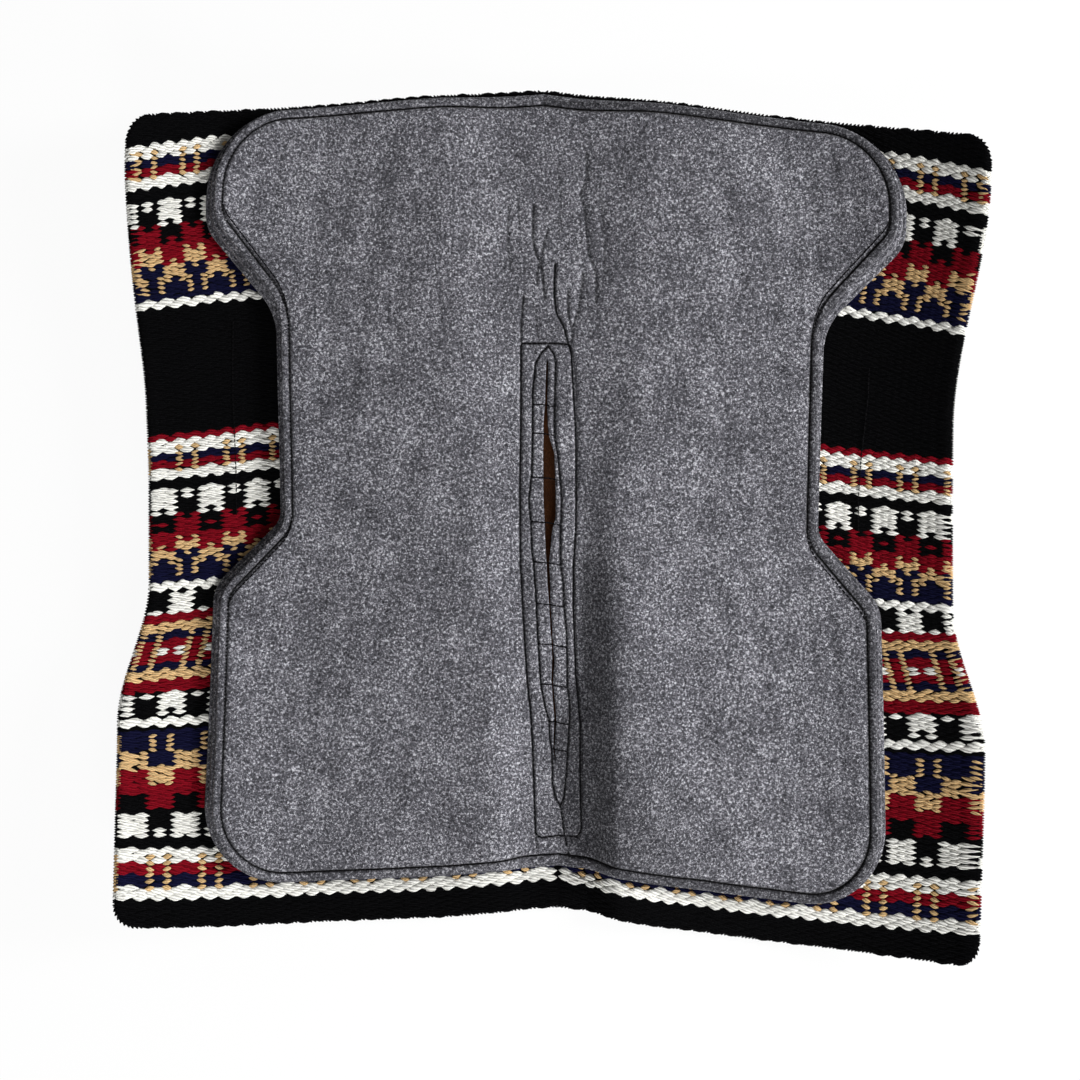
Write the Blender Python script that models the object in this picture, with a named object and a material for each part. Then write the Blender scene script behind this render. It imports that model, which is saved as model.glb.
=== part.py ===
"""Western saddle pad with a woven wool top and a contoured felt liner, as it lies felt side up on a floor.

Every sheet is cut flat in pad coordinates, x across from the spine line and v along it. The felt that meets
the horse is drawn down along its rows of stitches, and each sheet is divided where the pad folds. Then it is
laid: the felt is pressed thin along the spine, the sides curl up from the floor, and the rows of the weave
fall away from the spine at the angle at which the two woven halves are joined. +Z is up, +Y runs along the
spine towards the rear of the horse, and the origin is the middle of the spine on the floor.
"""
import math

import bmesh
import bpy
from mathutils import Vector

# The woven blanket: two halves joined along the spine
pad_length = 0.813
blanket_corner_half_width = 0.422
blanket_waist_half_width = 0.393
blanket_waist_centre = 0.030
blanket_waist_straight = 0.180
blanket_rear_flare = 0.250
blanket_front_flare = 0.140
blanket_corner_radius = 0.022
blanket_thickness = 0.008

# The felt liner: three layers, each a little smaller than the one under it
felt_front_end = -0.367
felt_rear_end = 0.403
felt_front_half_width = 0.335
felt_front_corner_radius = 0.078
felt_front_lobe_half_width = 0.326
felt_front_lobe_end = -0.066
felt_front_lobe_radius = 0.040
felt_waist_half_width = 0.264
felt_waist_front = -0.004
felt_waist_front_radius = 0.022
felt_waist_rear_half_width = 0.269
felt_waist_rear = 0.202
felt_waist_rear_radius = 0.070
felt_rear_half_width = 0.341
felt_rear_lobe_start = 0.291
felt_rear_lobe_radius = 0.045
felt_rear_corner_radius = 0.078
felt_backing_thickness = 0.005
felt_core_thickness = 0.008
felt_contact_thickness = 0.006
felt_step = 0.0025

# The channels that the stitches draw into the felt that meets the horse
stitch_inset = 0.0100
channel_half_width = 0.0035
channel_depth = 0.0020
strip_front = -0.332
strip_rear = 0.153

# The sewn spine, and the slot along it
spine_width = 0.052
spine_press_share = 0.45
slot_front_end = -0.258
slot_rear_end = 0.137
slot_open_centre = 0.012
slot_open_length = 0.140
slot_open_width = 0.011
slot_pinched_width = 0.002
slot_blanket_margin = 0.0015

# The leathers on the side that meets the saddle
leather_thickness = 0.0025
wear_leather_inner = 0.165
wear_leather_outer = 0.318
wear_leather_front = -0.150
wear_leather_rear = 0.210
wear_leather_corner_radius = 0.025
spine_leather_corner_radius = 0.010

# How the pad lies
contour_angle = math.radians(5.4)
lay_turn = math.radians(2.8)
side_draw_share = 0.02
corner_draw_share = 0.04
side_spread = 0.012
curl_start = 0.222
curl_radius = 0.336
corner_curl = 0.030
front_shoulder_width = 0.034
rear_shoulder_width = 0.085
left_shoulder_lift = 0.004
right_shoulder_lift = 0.014
lift_end = 0.150
lift_run = 0.400
lift_crest = 0.030
lift_fall = 0.095

# Clearances and the fineness of the sheets
gap = 0.0005
edge_round = 0.0015
leather_edge_round = 0.0005
curl_step = 0.018
length_step = 0.058
arc_step = math.radians(18)
slot_steps = 14
weld = 0.00001

# Places worked out from the sizes above
fold = spine_width / 2
blanket_base = leather_thickness + gap
felt_base = blanket_base + blanket_thickness + gap
felt_layers = (
    ("felt_backing", felt_backing_thickness),
    ("felt_core", felt_core_thickness),
    ("felt_contact", felt_contact_thickness),
)
felt_thickness = sum(thickness for name, thickness in felt_layers)
fold_height = felt_base + gap * (len(felt_layers) - 1) + felt_thickness * spine_press_share


def ease(share):
    """Rises smoothly from 0 to 1 as share goes from 0 to 1."""
    share = min(1.0, max(0.0, share))
    return share * share * (3 - 2 * share)


def lay(x, v, hard, soft):
    """The place of a point of a flat pattern once the pad lies on the floor.

    hard is what lies under the point and keeps its thickness. soft is the felt under it, which is pressed
    thin at the spine.
    """
    side = -1.0 if x < 0 else 1.0
    across = abs(x)
    away = max(0.0, across - fold)
    rearward = ease((v - felt_front_end) / (felt_rear_end - felt_front_end))
    shoulder_width = front_shoulder_width + (rear_shoulder_width - front_shoulder_width) * rearward
    pressed = spine_press_share + (1 - spine_press_share) * ease(away / shoulder_width)
    lift = left_shoulder_lift if side < 0 else right_shoulder_lift
    forward = ease((lift_end - v) / lift_run)
    lift *= forward * ease(away / front_shoulder_width)
    lift *= 1 - ease((away - lift_crest) / lift_fall)
    height = hard + soft * pressed + lift
    start = curl_start - corner_curl * (2 * v / pad_length) ** 2
    if across > start:
        angle = (across - start) / curl_radius
        across = start + (curl_radius - height) * math.sin(angle)
        height = curl_radius - (curl_radius - height) * math.cos(angle)
    reach = max(0.0, across - fold) / (blanket_corner_half_width - fold)
    drawn = v * (1 - side_draw_share * reach ** 2 - corner_draw_share * reach ** 5)
    across += side_spread * (forward if side > 0 else 1 - forward) * reach ** 4
    fall = (math.tan(contour_angle) + math.tan(lay_turn) * side) * across
    return Vector((side * across + math.tan(lay_turn) * v * reach, drawn - fall, height))


# Cutting the flat patterns

def rounded(corners):
    """An outline through (x, v, radius) corners, each rounded by an arc that fits its neighbours."""
    outline = []
    for index, (x, v, radius) in enumerate(corners):
        corner = Vector((x, v))
        before = Vector(corners[index - 1][:2]) - corner
        after = Vector(corners[(index + 1) % len(corners)][:2]) - corner
        half_turn = (math.pi - before.angle(after)) / 2
        reach = min(radius * math.tan(half_turn), before.length / 2, after.length / 2)
        if reach < weld:
            outline.append(corner)
            continue
        start = corner + before.normalized() * reach
        end = corner + after.normalized() * reach
        inward = (before.normalized() + after.normalized()).normalized()
        middle = corner + inward * reach / math.sin(half_turn)
        steps = max(1, math.ceil(2 * half_turn / arc_step))
        for step in range(steps + 1):
            ray = (start - middle).normalized().slerp((end - middle).normalized(), step / steps)
            outline.append(middle + ray * reach / math.tan(half_turn))
    return outline


def mirrored(outline):
    """The same outline on the other side of the spine, still running the same way round."""
    return [Vector((-point.x, point.y)) for point in reversed(outline)]


def felt_outline(inset):
    """A whole layer of the liner, drawn in by inset all round."""
    front = felt_front_end + inset
    rear = felt_rear_end - inset
    right = [
        (felt_front_half_width - inset, front, felt_front_corner_radius - inset),
        (felt_front_lobe_half_width - inset, felt_front_lobe_end - inset, felt_front_lobe_radius - inset),
        (felt_waist_half_width - inset, felt_waist_front - inset, felt_waist_front_radius + inset),
        (felt_waist_rear_half_width - inset, felt_waist_rear + inset, felt_waist_rear_radius + inset),
        (felt_rear_half_width - inset, felt_rear_lobe_start + inset, felt_rear_lobe_radius - inset),
        (felt_rear_half_width - inset, rear, felt_rear_corner_radius - inset),
    ]
    left = [(-x, v, radius) for x, v, radius in reversed(right)]
    return rounded(right + left)


def blanket_half_width(v):
    """The half width of the weave, drawn in at the waist."""
    past = v - blanket_waist_centre
    flare = blanket_rear_flare if past > 0 else blanket_front_flare
    share = ease((abs(past) - blanket_waist_straight / 2) / flare)
    return blanket_waist_half_width + (blanket_corner_half_width - blanket_waist_half_width) * share


def blanket_outline():
    """The right half of the weave, cut back from the slot along the join of the two halves."""
    inner = gap / 2
    end = pad_length / 2
    side_points = max(2, round((pad_length - 4 * blanket_corner_radius) / length_step))
    corners = [(blanket_half_width(-end), -end, blanket_corner_radius)]
    for index in range(side_points + 1):
        v = (end - 2 * blanket_corner_radius) * (2 * index / side_points - 1)
        corners.append((blanket_half_width(v), v, 0))
    corners.append((blanket_half_width(end), end, blanket_corner_radius))
    corners.append((inner, end, 0))
    corners.append((inner, slot_rear_end + 2 * slot_blanket_margin, 0))
    corners += [(point.x, point.y, 0) for point in reversed(slot_side(slot_blanket_margin))]
    corners.append((inner, slot_front_end - 2 * slot_blanket_margin, 0))
    corners.append((inner, -end, 0))
    return rounded(corners)


def slot_half_width(v):
    """Half the width of the slot, which gapes at one place and is pinched together along the rest."""
    share = ease(1 - abs(v - slot_open_centre) / (slot_open_length / 2))
    return (slot_pinched_width + (slot_open_width - slot_pinched_width) * share) / 2


def slot_side(margin):
    """The points of the slot's right side from front to rear, closer together where it gapes."""
    open_front = slot_open_centre - slot_open_length / 2
    open_rear = slot_open_centre + slot_open_length / 2
    places = [slot_front_end - margin]
    places += [open_front + (open_rear - open_front) * step / slot_steps for step in range(slot_steps + 1)]
    places.append(slot_rear_end + margin)
    return [Vector((slot_half_width(v) + margin, v)) for v in places]


# Making and laying the sheets

def stations():
    """The lines across and along the pad at which every sheet bends, alike for all so that they nest."""
    across = [away_share * rear_shoulder_width + fold for away_share in (0.12, 0.25, 0.4, 0.6, 1.0)]
    across += [curl_start - corner_curl, curl_start - corner_curl / 2]
    widest = blanket_corner_half_width
    across += [curl_start + curl_step * step for step in range(math.ceil((widest - curl_start) / curl_step))]
    rows = round(pad_length / length_step)
    along = [pad_length * (row / rows - 1 / 2) for row in range(1, rows)]
    return [-x for x in across] + [0.0] + across, along


def flat_sheet(outlines, thickness):
    """A flat solid of the given thickness, cut to an outer outline and to any openings that follow it."""
    curve = bpy.data.curves.new("pattern", "CURVE")
    curve.dimensions = "2D"
    curve.fill_mode = "BOTH"
    curve.extrude = thickness / 2
    for outline in outlines:
        spline = curve.splines.new("POLY")
        spline.points.add(len(outline) - 1)
        spline.use_cyclic_u = True
        for point, place in zip(spline.points, outline):
            point.co = (place.x, place.y, 0, 1)
    pattern = bpy.data.objects.new("pattern", curve)
    bpy.context.scene.collection.objects.link(pattern)
    graph = bpy.context.evaluated_depsgraph_get()
    mesh = bpy.data.meshes.new_from_object(pattern.evaluated_get(graph))
    bpy.data.objects.remove(pattern)
    sheet = bmesh.new()
    sheet.from_mesh(mesh)
    bpy.data.meshes.remove(mesh)
    bmesh.ops.remove_doubles(sheet, verts=sheet.verts, dist=weld)
    bmesh.ops.dissolve_limit(sheet, angle_limit=math.radians(1), verts=sheet.verts, edges=sheet.edges)
    return sheet


def soften_edges(sheet, width):
    """Rounds the sheet's cut edges."""
    edges = []
    for edge in sheet.edges:
        level = abs(edge.verts[0].co.z - edge.verts[1].co.z) < weld
        if level and edge.calc_face_angle(0) > math.radians(60):
            edges.append(edge)
    bmesh.ops.bevel(sheet, geom=edges, offset=width, segments=1, affect="EDGES", clamp_overlap=True)


def draw_line(sheet, faces, direction, place):
    """Divides some faces of a sheet along the line square to a direction at a place."""
    edges = {edge for face in faces for edge in face.edges}
    verts = {vert for face in faces for vert in face.verts}
    bmesh.ops.bisect_plane(sheet, geom=[*verts, *edges, *faces], plane_co=Vector(direction) * place,
                           plane_no=direction, dist=weld)


def score(sheet):
    """Adds the lines at which the sheet bends."""
    across, along = stations()
    for x in across:
        draw_line(sheet, sheet.faces[:], (1, 0, 0), x)
    for v in along:
        draw_line(sheet, sheet.faces[:], (0, 1, 0), v)


def top_faces(sheet, reach):
    """The faces on the top of a flat sheet whose middles lie within reach of the spine."""
    middles = {face: face.calc_center_bounds() for face in sheet.faces}
    return [face for face, middle in middles.items() if middle.z > weld and abs(middle.x) < reach]


def sew_edge_channel(sheet):
    """Draws the top down along the row of stitches that follows the sheet's edge and goes round the slot."""
    sheet.normal_update()
    top = [face for face in sheet.faces if face.normal.z > math.cos(math.radians(1))]
    rings = (
        (stitch_inset - channel_half_width - edge_round, 0),
        (channel_half_width, -channel_depth),
        (channel_half_width, channel_depth),
    )
    for width, rise in rings:
        bmesh.ops.inset_region(sheet, faces=top, thickness=width, depth=rise, use_even_offset=True)


def sew_strip_channel(sheet):
    """Draws the top down along the rectangle of stitches round the slot, whose long sides are the folds."""
    for offset in (-channel_half_width, 0, channel_half_width):
        for side in (-1, 1):
            draw_line(sheet, top_faces(sheet, pad_length), (1, 0, 0), side * fold + offset)
    for offset in (-channel_half_width, 0, channel_half_width):
        for end in (strip_front, strip_rear):
            draw_line(sheet, top_faces(sheet, fold + channel_half_width), (0, 1, 0), end + offset)
    for vert in sheet.verts:
        if vert.co.z > 0:
            outside = max(abs(vert.co.x) - fold, strip_front - vert.co.y, vert.co.y - strip_rear)
            vert.co.z -= channel_depth * max(0, 1 - abs(outside) / channel_half_width)


def divide(sheet, low, high):
    """A closed copy of the part of a sheet between two lines along the spine, either of which may be None."""
    part = sheet.copy()
    for x, outward in ((low, -1), (high, 1)):
        if x is not None:
            geometry = part.verts[:] + part.edges[:] + part.faces[:]
            bmesh.ops.bisect_plane(part, geom=geometry, plane_co=(x, 0, 0), plane_no=(outward, 0, 0),
                                   dist=weld, clear_outer=True)
            cut = [edge for edge in part.edges if edge.is_boundary]
            bmesh.ops.holes_fill(part, edges=cut)
    return part


def make_material(name, color, roughness):
    """A plain Principled material."""
    material = bpy.data.materials.new(name)
    material.use_nodes = True
    shader = material.node_tree.nodes["Principled BSDF"]
    shader.inputs["Base Color"].default_value = (*color, 1)
    shader.inputs["Roughness"].default_value = roughness
    shader.inputs["Metallic"].default_value = 0
    material.diffuse_color = (*color, 1)
    return material


def make_piece(name, sheet, thickness, hard, soft, material, fold_line=None):
    """Lays a flat sheet at its height in the stack, and hangs it on its fold line.

    A sheet with soft None keeps its thickness. Otherwise soft is the felt under it, and it is pressed too.
    """
    score(sheet)
    for vert in sheet.verts:
        rise = vert.co.z + thickness / 2
        if soft is None:
            vert.co = lay(vert.co.x, vert.co.y, hard + rise, 0)
        else:
            vert.co = lay(vert.co.x, vert.co.y, hard, soft + rise)
    bmesh.ops.recalc_face_normals(sheet, faces=sheet.faces)
    bmesh.ops.triangulate(sheet, faces=sheet.faces)
    mesh = bpy.data.meshes.new(name)
    sheet.to_mesh(mesh)
    sheet.free()
    mesh.shade_smooth()
    mesh.set_sharp_from_angle(angle=math.radians(35))
    piece = bpy.data.objects.new(name, mesh)
    pad.objects.link(piece)
    piece.data.materials.append(material)
    if fold_line:
        piece.parent = fold_line
        piece.matrix_parent_inverse = fold_line.matrix_world.inverted()
    return piece


def make_fold_line(name, x):
    """The line that a side of the pad folds about: the edge of the spine's pressed felt."""
    line = bpy.data.objects.new(name, None)
    line.location = (x, 0, fold_height)
    line.empty_display_size = spine_width
    pad.objects.link(line)
    bpy.context.view_layer.update()
    return line


# The pieces

def make_blankets(folds, material):
    """Each woven half is divided into a wide side and the margin that is sewn down along the spine."""
    half = blanket_outline()
    halves = (("left", folds[0], -1, mirrored(half)), ("right", folds[1], 1, half))
    for name, fold_line, side, outline in halves:
        sheet = flat_sheet([outline], blanket_thickness)
        soften_edges(sheet, edge_round)
        wide = sorted((side * (fold + gap / 2), side * pad_length))
        margin = sorted((0, side * (fold - gap / 2)))
        make_piece(f"blanket_{name}", divide(sheet, *wide), blanket_thickness, blanket_base, None,
                   material, fold_line)
        make_piece(f"blanket_{name}_margin", divide(sheet, *margin), blanket_thickness, blanket_base, None,
                   material)
        sheet.free()


def make_felts(folds, materials):
    """Three whole layers with the slot through them all, each divided into its two sides and its spine."""
    slot = slot_side(0)
    opening = slot + mirrored(slot)
    inner = fold - gap / 2
    outer = fold + gap / 2
    hard = felt_base
    soft = 0.0
    for index, (name, thickness) in enumerate(felt_layers):
        sheet = flat_sheet([felt_outline(felt_step * index), opening], thickness)
        soften_edges(sheet, edge_round)
        if name == "felt_contact":
            sew_edge_channel(sheet)
            sew_strip_channel(sheet)
        parts = (
            ("left", None, -outer, folds[0]),
            ("spine", -inner, inner, None),
            ("right", outer, None, folds[1]),
        )
        for part, low, high, fold_line in parts:
            make_piece(f"{name}_{part}", divide(sheet, low, high), thickness, hard, soft, materials[name],
                       fold_line)
        sheet.free()
        hard += gap
        soft += thickness


def make_leather(name, outline, material, fold_line=None):
    """A leather cut to an outline, which lies under the weave on the floor."""
    sheet = flat_sheet([outline], leather_thickness)
    soften_edges(sheet, leather_edge_round)
    make_piece(name, sheet, leather_thickness, 0, None, material, fold_line)


def make_leathers(folds, material):
    """A strip under the spine, and a wear leather under each side where the rider's leg and rigging rub."""
    outer = fold - gap / 2
    end = pad_length / 2
    radius = spine_leather_corner_radius
    strip = [(-outer, -end, radius), (outer, -end, radius), (outer, end, radius), (-outer, end, radius)]
    make_leather("spine_leather", rounded(strip), material)
    radius = wear_leather_corner_radius
    side = rounded([
        (wear_leather_inner, wear_leather_front, radius),
        (wear_leather_outer, wear_leather_front, radius),
        (wear_leather_outer, wear_leather_rear, radius),
        (wear_leather_inner, wear_leather_rear, radius),
    ])
    make_leather("wear_leather_left", mirrored(side), material, folds[0])
    make_leather("wear_leather_right", side, material, folds[1])


for old in list(bpy.data.objects):
    bpy.data.objects.remove(old)
pad = bpy.data.collections.new("western_saddle_pad")
bpy.context.scene.collection.children.link(pad)
fold_lines = (make_fold_line("left_fold", -fold), make_fold_line("right_fold", fold))
weave = make_material("woven_wool", (0.080, 0.020, 0.025), 0.9)
felts = {
    "felt_backing": make_material("felt_backing", (0.110, 0.108, 0.122), 0.95),
    "felt_core": make_material("felt_core", (0.130, 0.128, 0.142), 0.95),
    "felt_contact": make_material("felt_contact", (0.155, 0.153, 0.170), 0.95),
}
leather = make_material("brown_leather", (0.110, 0.045, 0.020), 0.55)
make_blankets(fold_lines, weave)
make_felts(fold_lines, felts)
make_leathers(fold_lines, leather)
print(f"fold lines at x = +/-{fold:.4f} m, {fold_height:.5f} m above the floor")
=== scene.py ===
import math

import bpy
import numpy as np
from mathutils.geometry import delaunay_2d_cdt
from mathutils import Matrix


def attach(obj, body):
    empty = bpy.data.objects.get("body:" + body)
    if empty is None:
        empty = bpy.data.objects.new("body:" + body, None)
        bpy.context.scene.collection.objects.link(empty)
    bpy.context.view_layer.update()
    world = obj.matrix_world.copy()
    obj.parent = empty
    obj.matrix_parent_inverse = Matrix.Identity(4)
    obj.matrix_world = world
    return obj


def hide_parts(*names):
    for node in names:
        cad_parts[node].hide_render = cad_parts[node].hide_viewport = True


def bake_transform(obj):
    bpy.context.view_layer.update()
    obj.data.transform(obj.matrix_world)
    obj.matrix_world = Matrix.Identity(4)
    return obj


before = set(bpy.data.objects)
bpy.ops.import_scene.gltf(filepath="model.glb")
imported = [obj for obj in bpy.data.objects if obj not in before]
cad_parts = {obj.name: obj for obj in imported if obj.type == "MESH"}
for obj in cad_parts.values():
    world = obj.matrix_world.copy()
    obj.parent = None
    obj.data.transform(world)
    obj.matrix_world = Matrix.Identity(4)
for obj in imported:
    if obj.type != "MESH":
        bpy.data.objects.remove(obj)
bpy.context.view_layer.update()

# The woven blanket: the cloth
# Two halves are woven in wool on a heavy warp, and joined along the spine at the angle that gives the pad its
# contour. Weft faces cover the warp on both sides, so the cloth itself shows only at its edges.

# Every sheet of the pad is cut flat, in pad coordinates: x across from the spine and v along it, rear at +v.
# The sheets are stitched into one stack, which is pressed thin along the spine and curls up at the sides.
pad_length = 0.813
spine_width = 0.052
spine_press_share = 0.45
contour_angle = math.radians(5.4)
lay_turn = math.radians(2.8)
side_draw_share = 0.02
corner_draw_share = 0.04
side_spread = 0.012
curl_start = 0.222
curl_radius = 0.336
corner_curl = 0.030
front_shoulder_width = 0.034
rear_shoulder_width = 0.085
left_shoulder_lift = 0.004
right_shoulder_lift = 0.014
lift_end = 0.150
lift_run = 0.400
lift_crest = 0.030
lift_fall = 0.095
blanket_corner_half_width = 0.422
felt_front_end = -0.3635
felt_rear_end = 0.4005
fold = spine_width / 2
# Every side has a sign, -1 for the left and 1 for the right, and a name.
side_names = {-1: "left", 1: "right"}
# The slot is cut and sewn by eye, so the middle of the spine wanders: (v, x) along it.
wander = ((-0.345, 0.0), (-0.300, 0.0029), (-0.262, -0.0005), (-0.247, -0.0022), (-0.217, -0.0002), (-0.180, -0.0025),
          (-0.160, -0.0010), (-0.104, -0.0034), (-0.063, -0.0046), (-0.034, -0.0038), (-0.018, -0.0021),
          (0.044, -0.0020), (0.060, -0.0036), (0.074, -0.0041), (0.136, -0.0012), (0.155, 0.0))
wander_fade = 0.016
# Each side lies a little longer or shorter than it was cut, as a pad that has been carried folded does.
stretch = {-1: 0.0065, 1: 0.010}
stretch_start = 0.25
left_corner_draw = {"front": 0.036, "rear": 0.023}
right_corner_draw = {"front": 0.0, "rear": 0.016}
right_front_slack = 0.011
left_bulge = 0.009
left_bulge_centre = 0.185
left_bulge_half_width = 0.150


def ease(share):
    """Rises smoothly from 0 to 1 as share goes from 0 to 1."""
    share = np.clip(share, 0.0, 1.0)
    return share * share * (3 - 2 * share)


def valley(distance, half_width):
    """1 on a line, falling smoothly to 0 at half_width from it."""
    return ease(1 - np.abs(distance) / half_width)


def press(x, v):
    """The share of its thickness that the felt keeps at a place."""
    rearward = ease((v - felt_front_end) / (felt_rear_end - felt_front_end))
    shoulder_width = front_shoulder_width + (rear_shoulder_width - front_shoulder_width) * rearward
    return spine_press_share + (1 - spine_press_share) * ease((np.abs(x) - fold) / shoulder_width)


def lay(x, v, hard, soft=0.0):
    """Where points of a flat sheet lie, with hard under them that keeps its thickness and soft felt that doesn't."""
    side = np.where(x < 0, -1.0, 1.0)
    across = np.abs(x)
    away = np.maximum(0.0, across - fold)
    lift = np.where(x < 0, left_shoulder_lift, right_shoulder_lift)
    forward = ease((lift_end - v) / lift_run)
    lift = lift * forward * ease(away / front_shoulder_width)
    lift = lift * (1 - ease((away - lift_crest) / lift_fall))
    height = hard + soft * press(x, v) + lift
    start = curl_start - corner_curl * (2 * v / pad_length) ** 2
    angle = np.maximum(0.0, across - start) / curl_radius
    curled = start + (curl_radius - height) * np.sin(angle)
    across = np.where(angle > 0, curled, across)
    height = np.where(angle > 0, curl_radius - (curl_radius - height) * np.cos(angle), height)
    reach = np.maximum(0.0, across - fold) / (blanket_corner_half_width - fold)
    stretched = np.where(x < 0, stretch[-1], stretch[1]) * ease(reach / stretch_start)
    left_drawn = np.where(v < 0, left_corner_draw["front"], left_corner_draw["rear"]) * reach ** 4
    right_drawn = np.where(v < 0, right_corner_draw["front"], right_corner_draw["rear"]) * reach ** 4
    slack = np.where(v < 0, right_front_slack * valley(reach - 0.5, 0.5), 0.0)
    stretched = stretched + np.where(x < 0, -left_drawn, slack - right_drawn)
    drawn = v * (1 - side_draw_share * reach ** 2 - corner_draw_share * reach ** 5 + stretched)
    across = across + side_spread * np.where(x < 0, 1 - forward, forward) * reach ** 4
    bulge = left_bulge * valley(v - left_bulge_centre, left_bulge_half_width) * reach ** 4
    across = across + np.where(x < 0, bulge, 0.0)
    fall = (math.tan(contour_angle) + math.tan(lay_turn) * side) * across
    shift = np.interp(v, *zip(*wander)) * (1 - ease(across / wander_fade))
    return np.stack([side * across + shift + math.tan(lay_turn) * v * reach, drawn - fall, height], axis=-1)


def unit(vectors):
    """The same directions with length 1."""
    return vectors / np.linalg.norm(vectors, axis=-1, keepdims=True)


def surface_axes(place, x, v):
    """The directions across, along and out of a laid surface, whose points place(x, v) gives."""
    step = 0.0008
    across = unit(place(x + step, v) - place(x - step, v))
    along = unit(place(x, v + step) - place(x, v - step))
    return across, along, unit(np.cross(across, along))


# A sheet is cut to its outline, gets rings of points that follow its edge and a field of points within, and is
# closed below and round its edge. Corners are cut round, as a knife is led round a template.
arc_step = math.radians(6)
weld = 0.00002
# How far the field of points keeps from the edge, where the rings lie.
field_clearance = 0.007


def rounded(corners):
    """An open path through (x, v, radius) corners, each rounded by an arc."""
    places = np.array([corner[:2] for corner in corners])
    path = [places[0]]
    for index in range(1, len(corners) - 1):
        radius = corners[index][2]
        before = places[index - 1] - places[index]
        after = places[index + 1] - places[index]
        before_length, after_length = np.linalg.norm(before), np.linalg.norm(after)
        before, after = before / before_length, after / after_length
        half_turn = (math.pi - math.acos(np.clip(before @ after, -1, 1))) / 2
        reach = min(radius * math.tan(half_turn), before_length, after_length)
        if reach < weld:
            path.append(places[index])
            continue
        inward = unit(before + after)
        middle = places[index] + inward * reach / math.sin(half_turn)
        arc_radius = reach / math.tan(half_turn)
        steps = max(2, math.ceil(2 * half_turn / arc_step))
        start, end = unit(places[index] + before * reach - middle), unit(places[index] + after * reach - middle)
        for step in range(steps + 1):
            turn = 2 * half_turn * step / steps
            ray = (math.sin(2 * half_turn - turn) * start + math.sin(turn) * end) / math.sin(2 * half_turn)
            path.append(middle + ray * arc_radius)
    path.append(places[-1])
    return np.array(path)


def resampled(path, spacing):
    """The path with points at an even spacing, its ends kept."""
    lengths = np.linalg.norm(np.diff(path, axis=0), axis=1)
    travelled = np.concatenate([[0.0], np.cumsum(lengths)])
    places = np.linspace(0, travelled[-1], max(2, round(travelled[-1] / spacing) + 1))
    return np.stack([np.interp(places, travelled, path[:, axis]) for axis in range(2)], axis=1)


def distance_from(points, path):
    """The distance of each flat point from a path."""
    nearest = np.full(len(points), np.inf)
    for start, end in zip(path[:-1], path[1:]):
        run = end - start
        if run @ run < weld ** 2:
            continue
        share = np.clip((points - start) @ run / (run @ run), 0, 1)
        nearest = np.minimum(nearest, ((points - start - share[:, None] * run) ** 2).sum(axis=1))
    return np.sqrt(nearest)


def inside(points, outline):
    """Whether each flat point lies within a closed outline."""
    within = np.zeros(len(points), bool)
    for start, end in zip(outline, np.roll(outline, -1, axis=0)):
        crosses = (start[1] > points[:, 1]) != (end[1] > points[:, 1])
        if start[1] != end[1]:
            at = start[0] + (points[:, 1] - start[1]) * (end[0] - start[0]) / (end[1] - start[1])
            within ^= crosses & (points[:, 0] < at)
    return within


def field(low, high, spacing):
    """Points in staggered rows over a rectangle."""
    rows = np.arange(low[1] + spacing / 2, high[1], spacing * math.sqrt(3) / 2)
    columns = np.arange(low[0] + spacing / 2, high[0], spacing)
    x, v = np.meshgrid(columns, rows)
    x = x + (np.arange(len(rows)) % 2)[:, None] * spacing / 2
    return np.stack([x.ravel(), v.ravel()], axis=1)


def fill_outline(outline, points, side):
    """Triangles over a closed outline of the right half, through the given points, or over its mirror image."""
    turned = np.array([side, 1.0])
    corners = [tuple(place) for place in np.concatenate([outline, points]) * turned]
    count = len(outline)
    edges = [(index, (index + 1) % count) for index in range(count)]
    flat, _, faces, _, _, _ = delaunay_2d_cdt(corners, edges, [], 1, weld / 10)
    return np.array([tuple(place) for place in flat]), [tuple(face) for face in faces]


def make_mesh(name, points, faces, material, smooth_angle=40):
    """A mesh object at the origin."""
    mesh = bpy.data.meshes.new(name)
    mesh.from_pydata([tuple(place) for place in points], [], faces)
    mesh.materials.append(material)
    mesh.shade_smooth()
    mesh.set_sharp_from_angle(angle=math.radians(smooth_angle))
    made = bpy.data.objects.new(name, mesh)
    bpy.context.scene.collection.objects.link(made)
    return made


def close_sheet(name, top, bottom, faces, material, smooth_angle=40):
    """A closed sheet with a top, a bottom and a wall round its edge."""
    count = len(top)
    all_faces = list(faces) + [tuple(index + count for index in reversed(face)) for face in faces]
    ways = {(face[k], face[(k + 1) % len(face)]) for face in faces for k in range(len(face))}
    for start, end in sorted(ways):
        if (end, start) not in ways:
            all_faces.append((start, start + count, end + count, end))
    return make_mesh(name, np.concatenate([top, bottom]), all_faces, material, smooth_angle)


def hang(piece):
    """Bakes the place of a piece of one half into its mesh."""
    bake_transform(piece)


# The outline of one half of the weave, its place in the stack, and the slot along the join.
blanket_waist_half_width = 0.393
blanket_waist_centre = 0.030
blanket_waist_straight = 0.180
blanket_rear_flare = 0.250
blanket_front_flare = 0.140
blanket_corner_radius = 0.022
blanket_base = 0.0030
blanket_thickness = 0.008
slot_front_end = -0.258
slot_rear_end = 0.137
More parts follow.
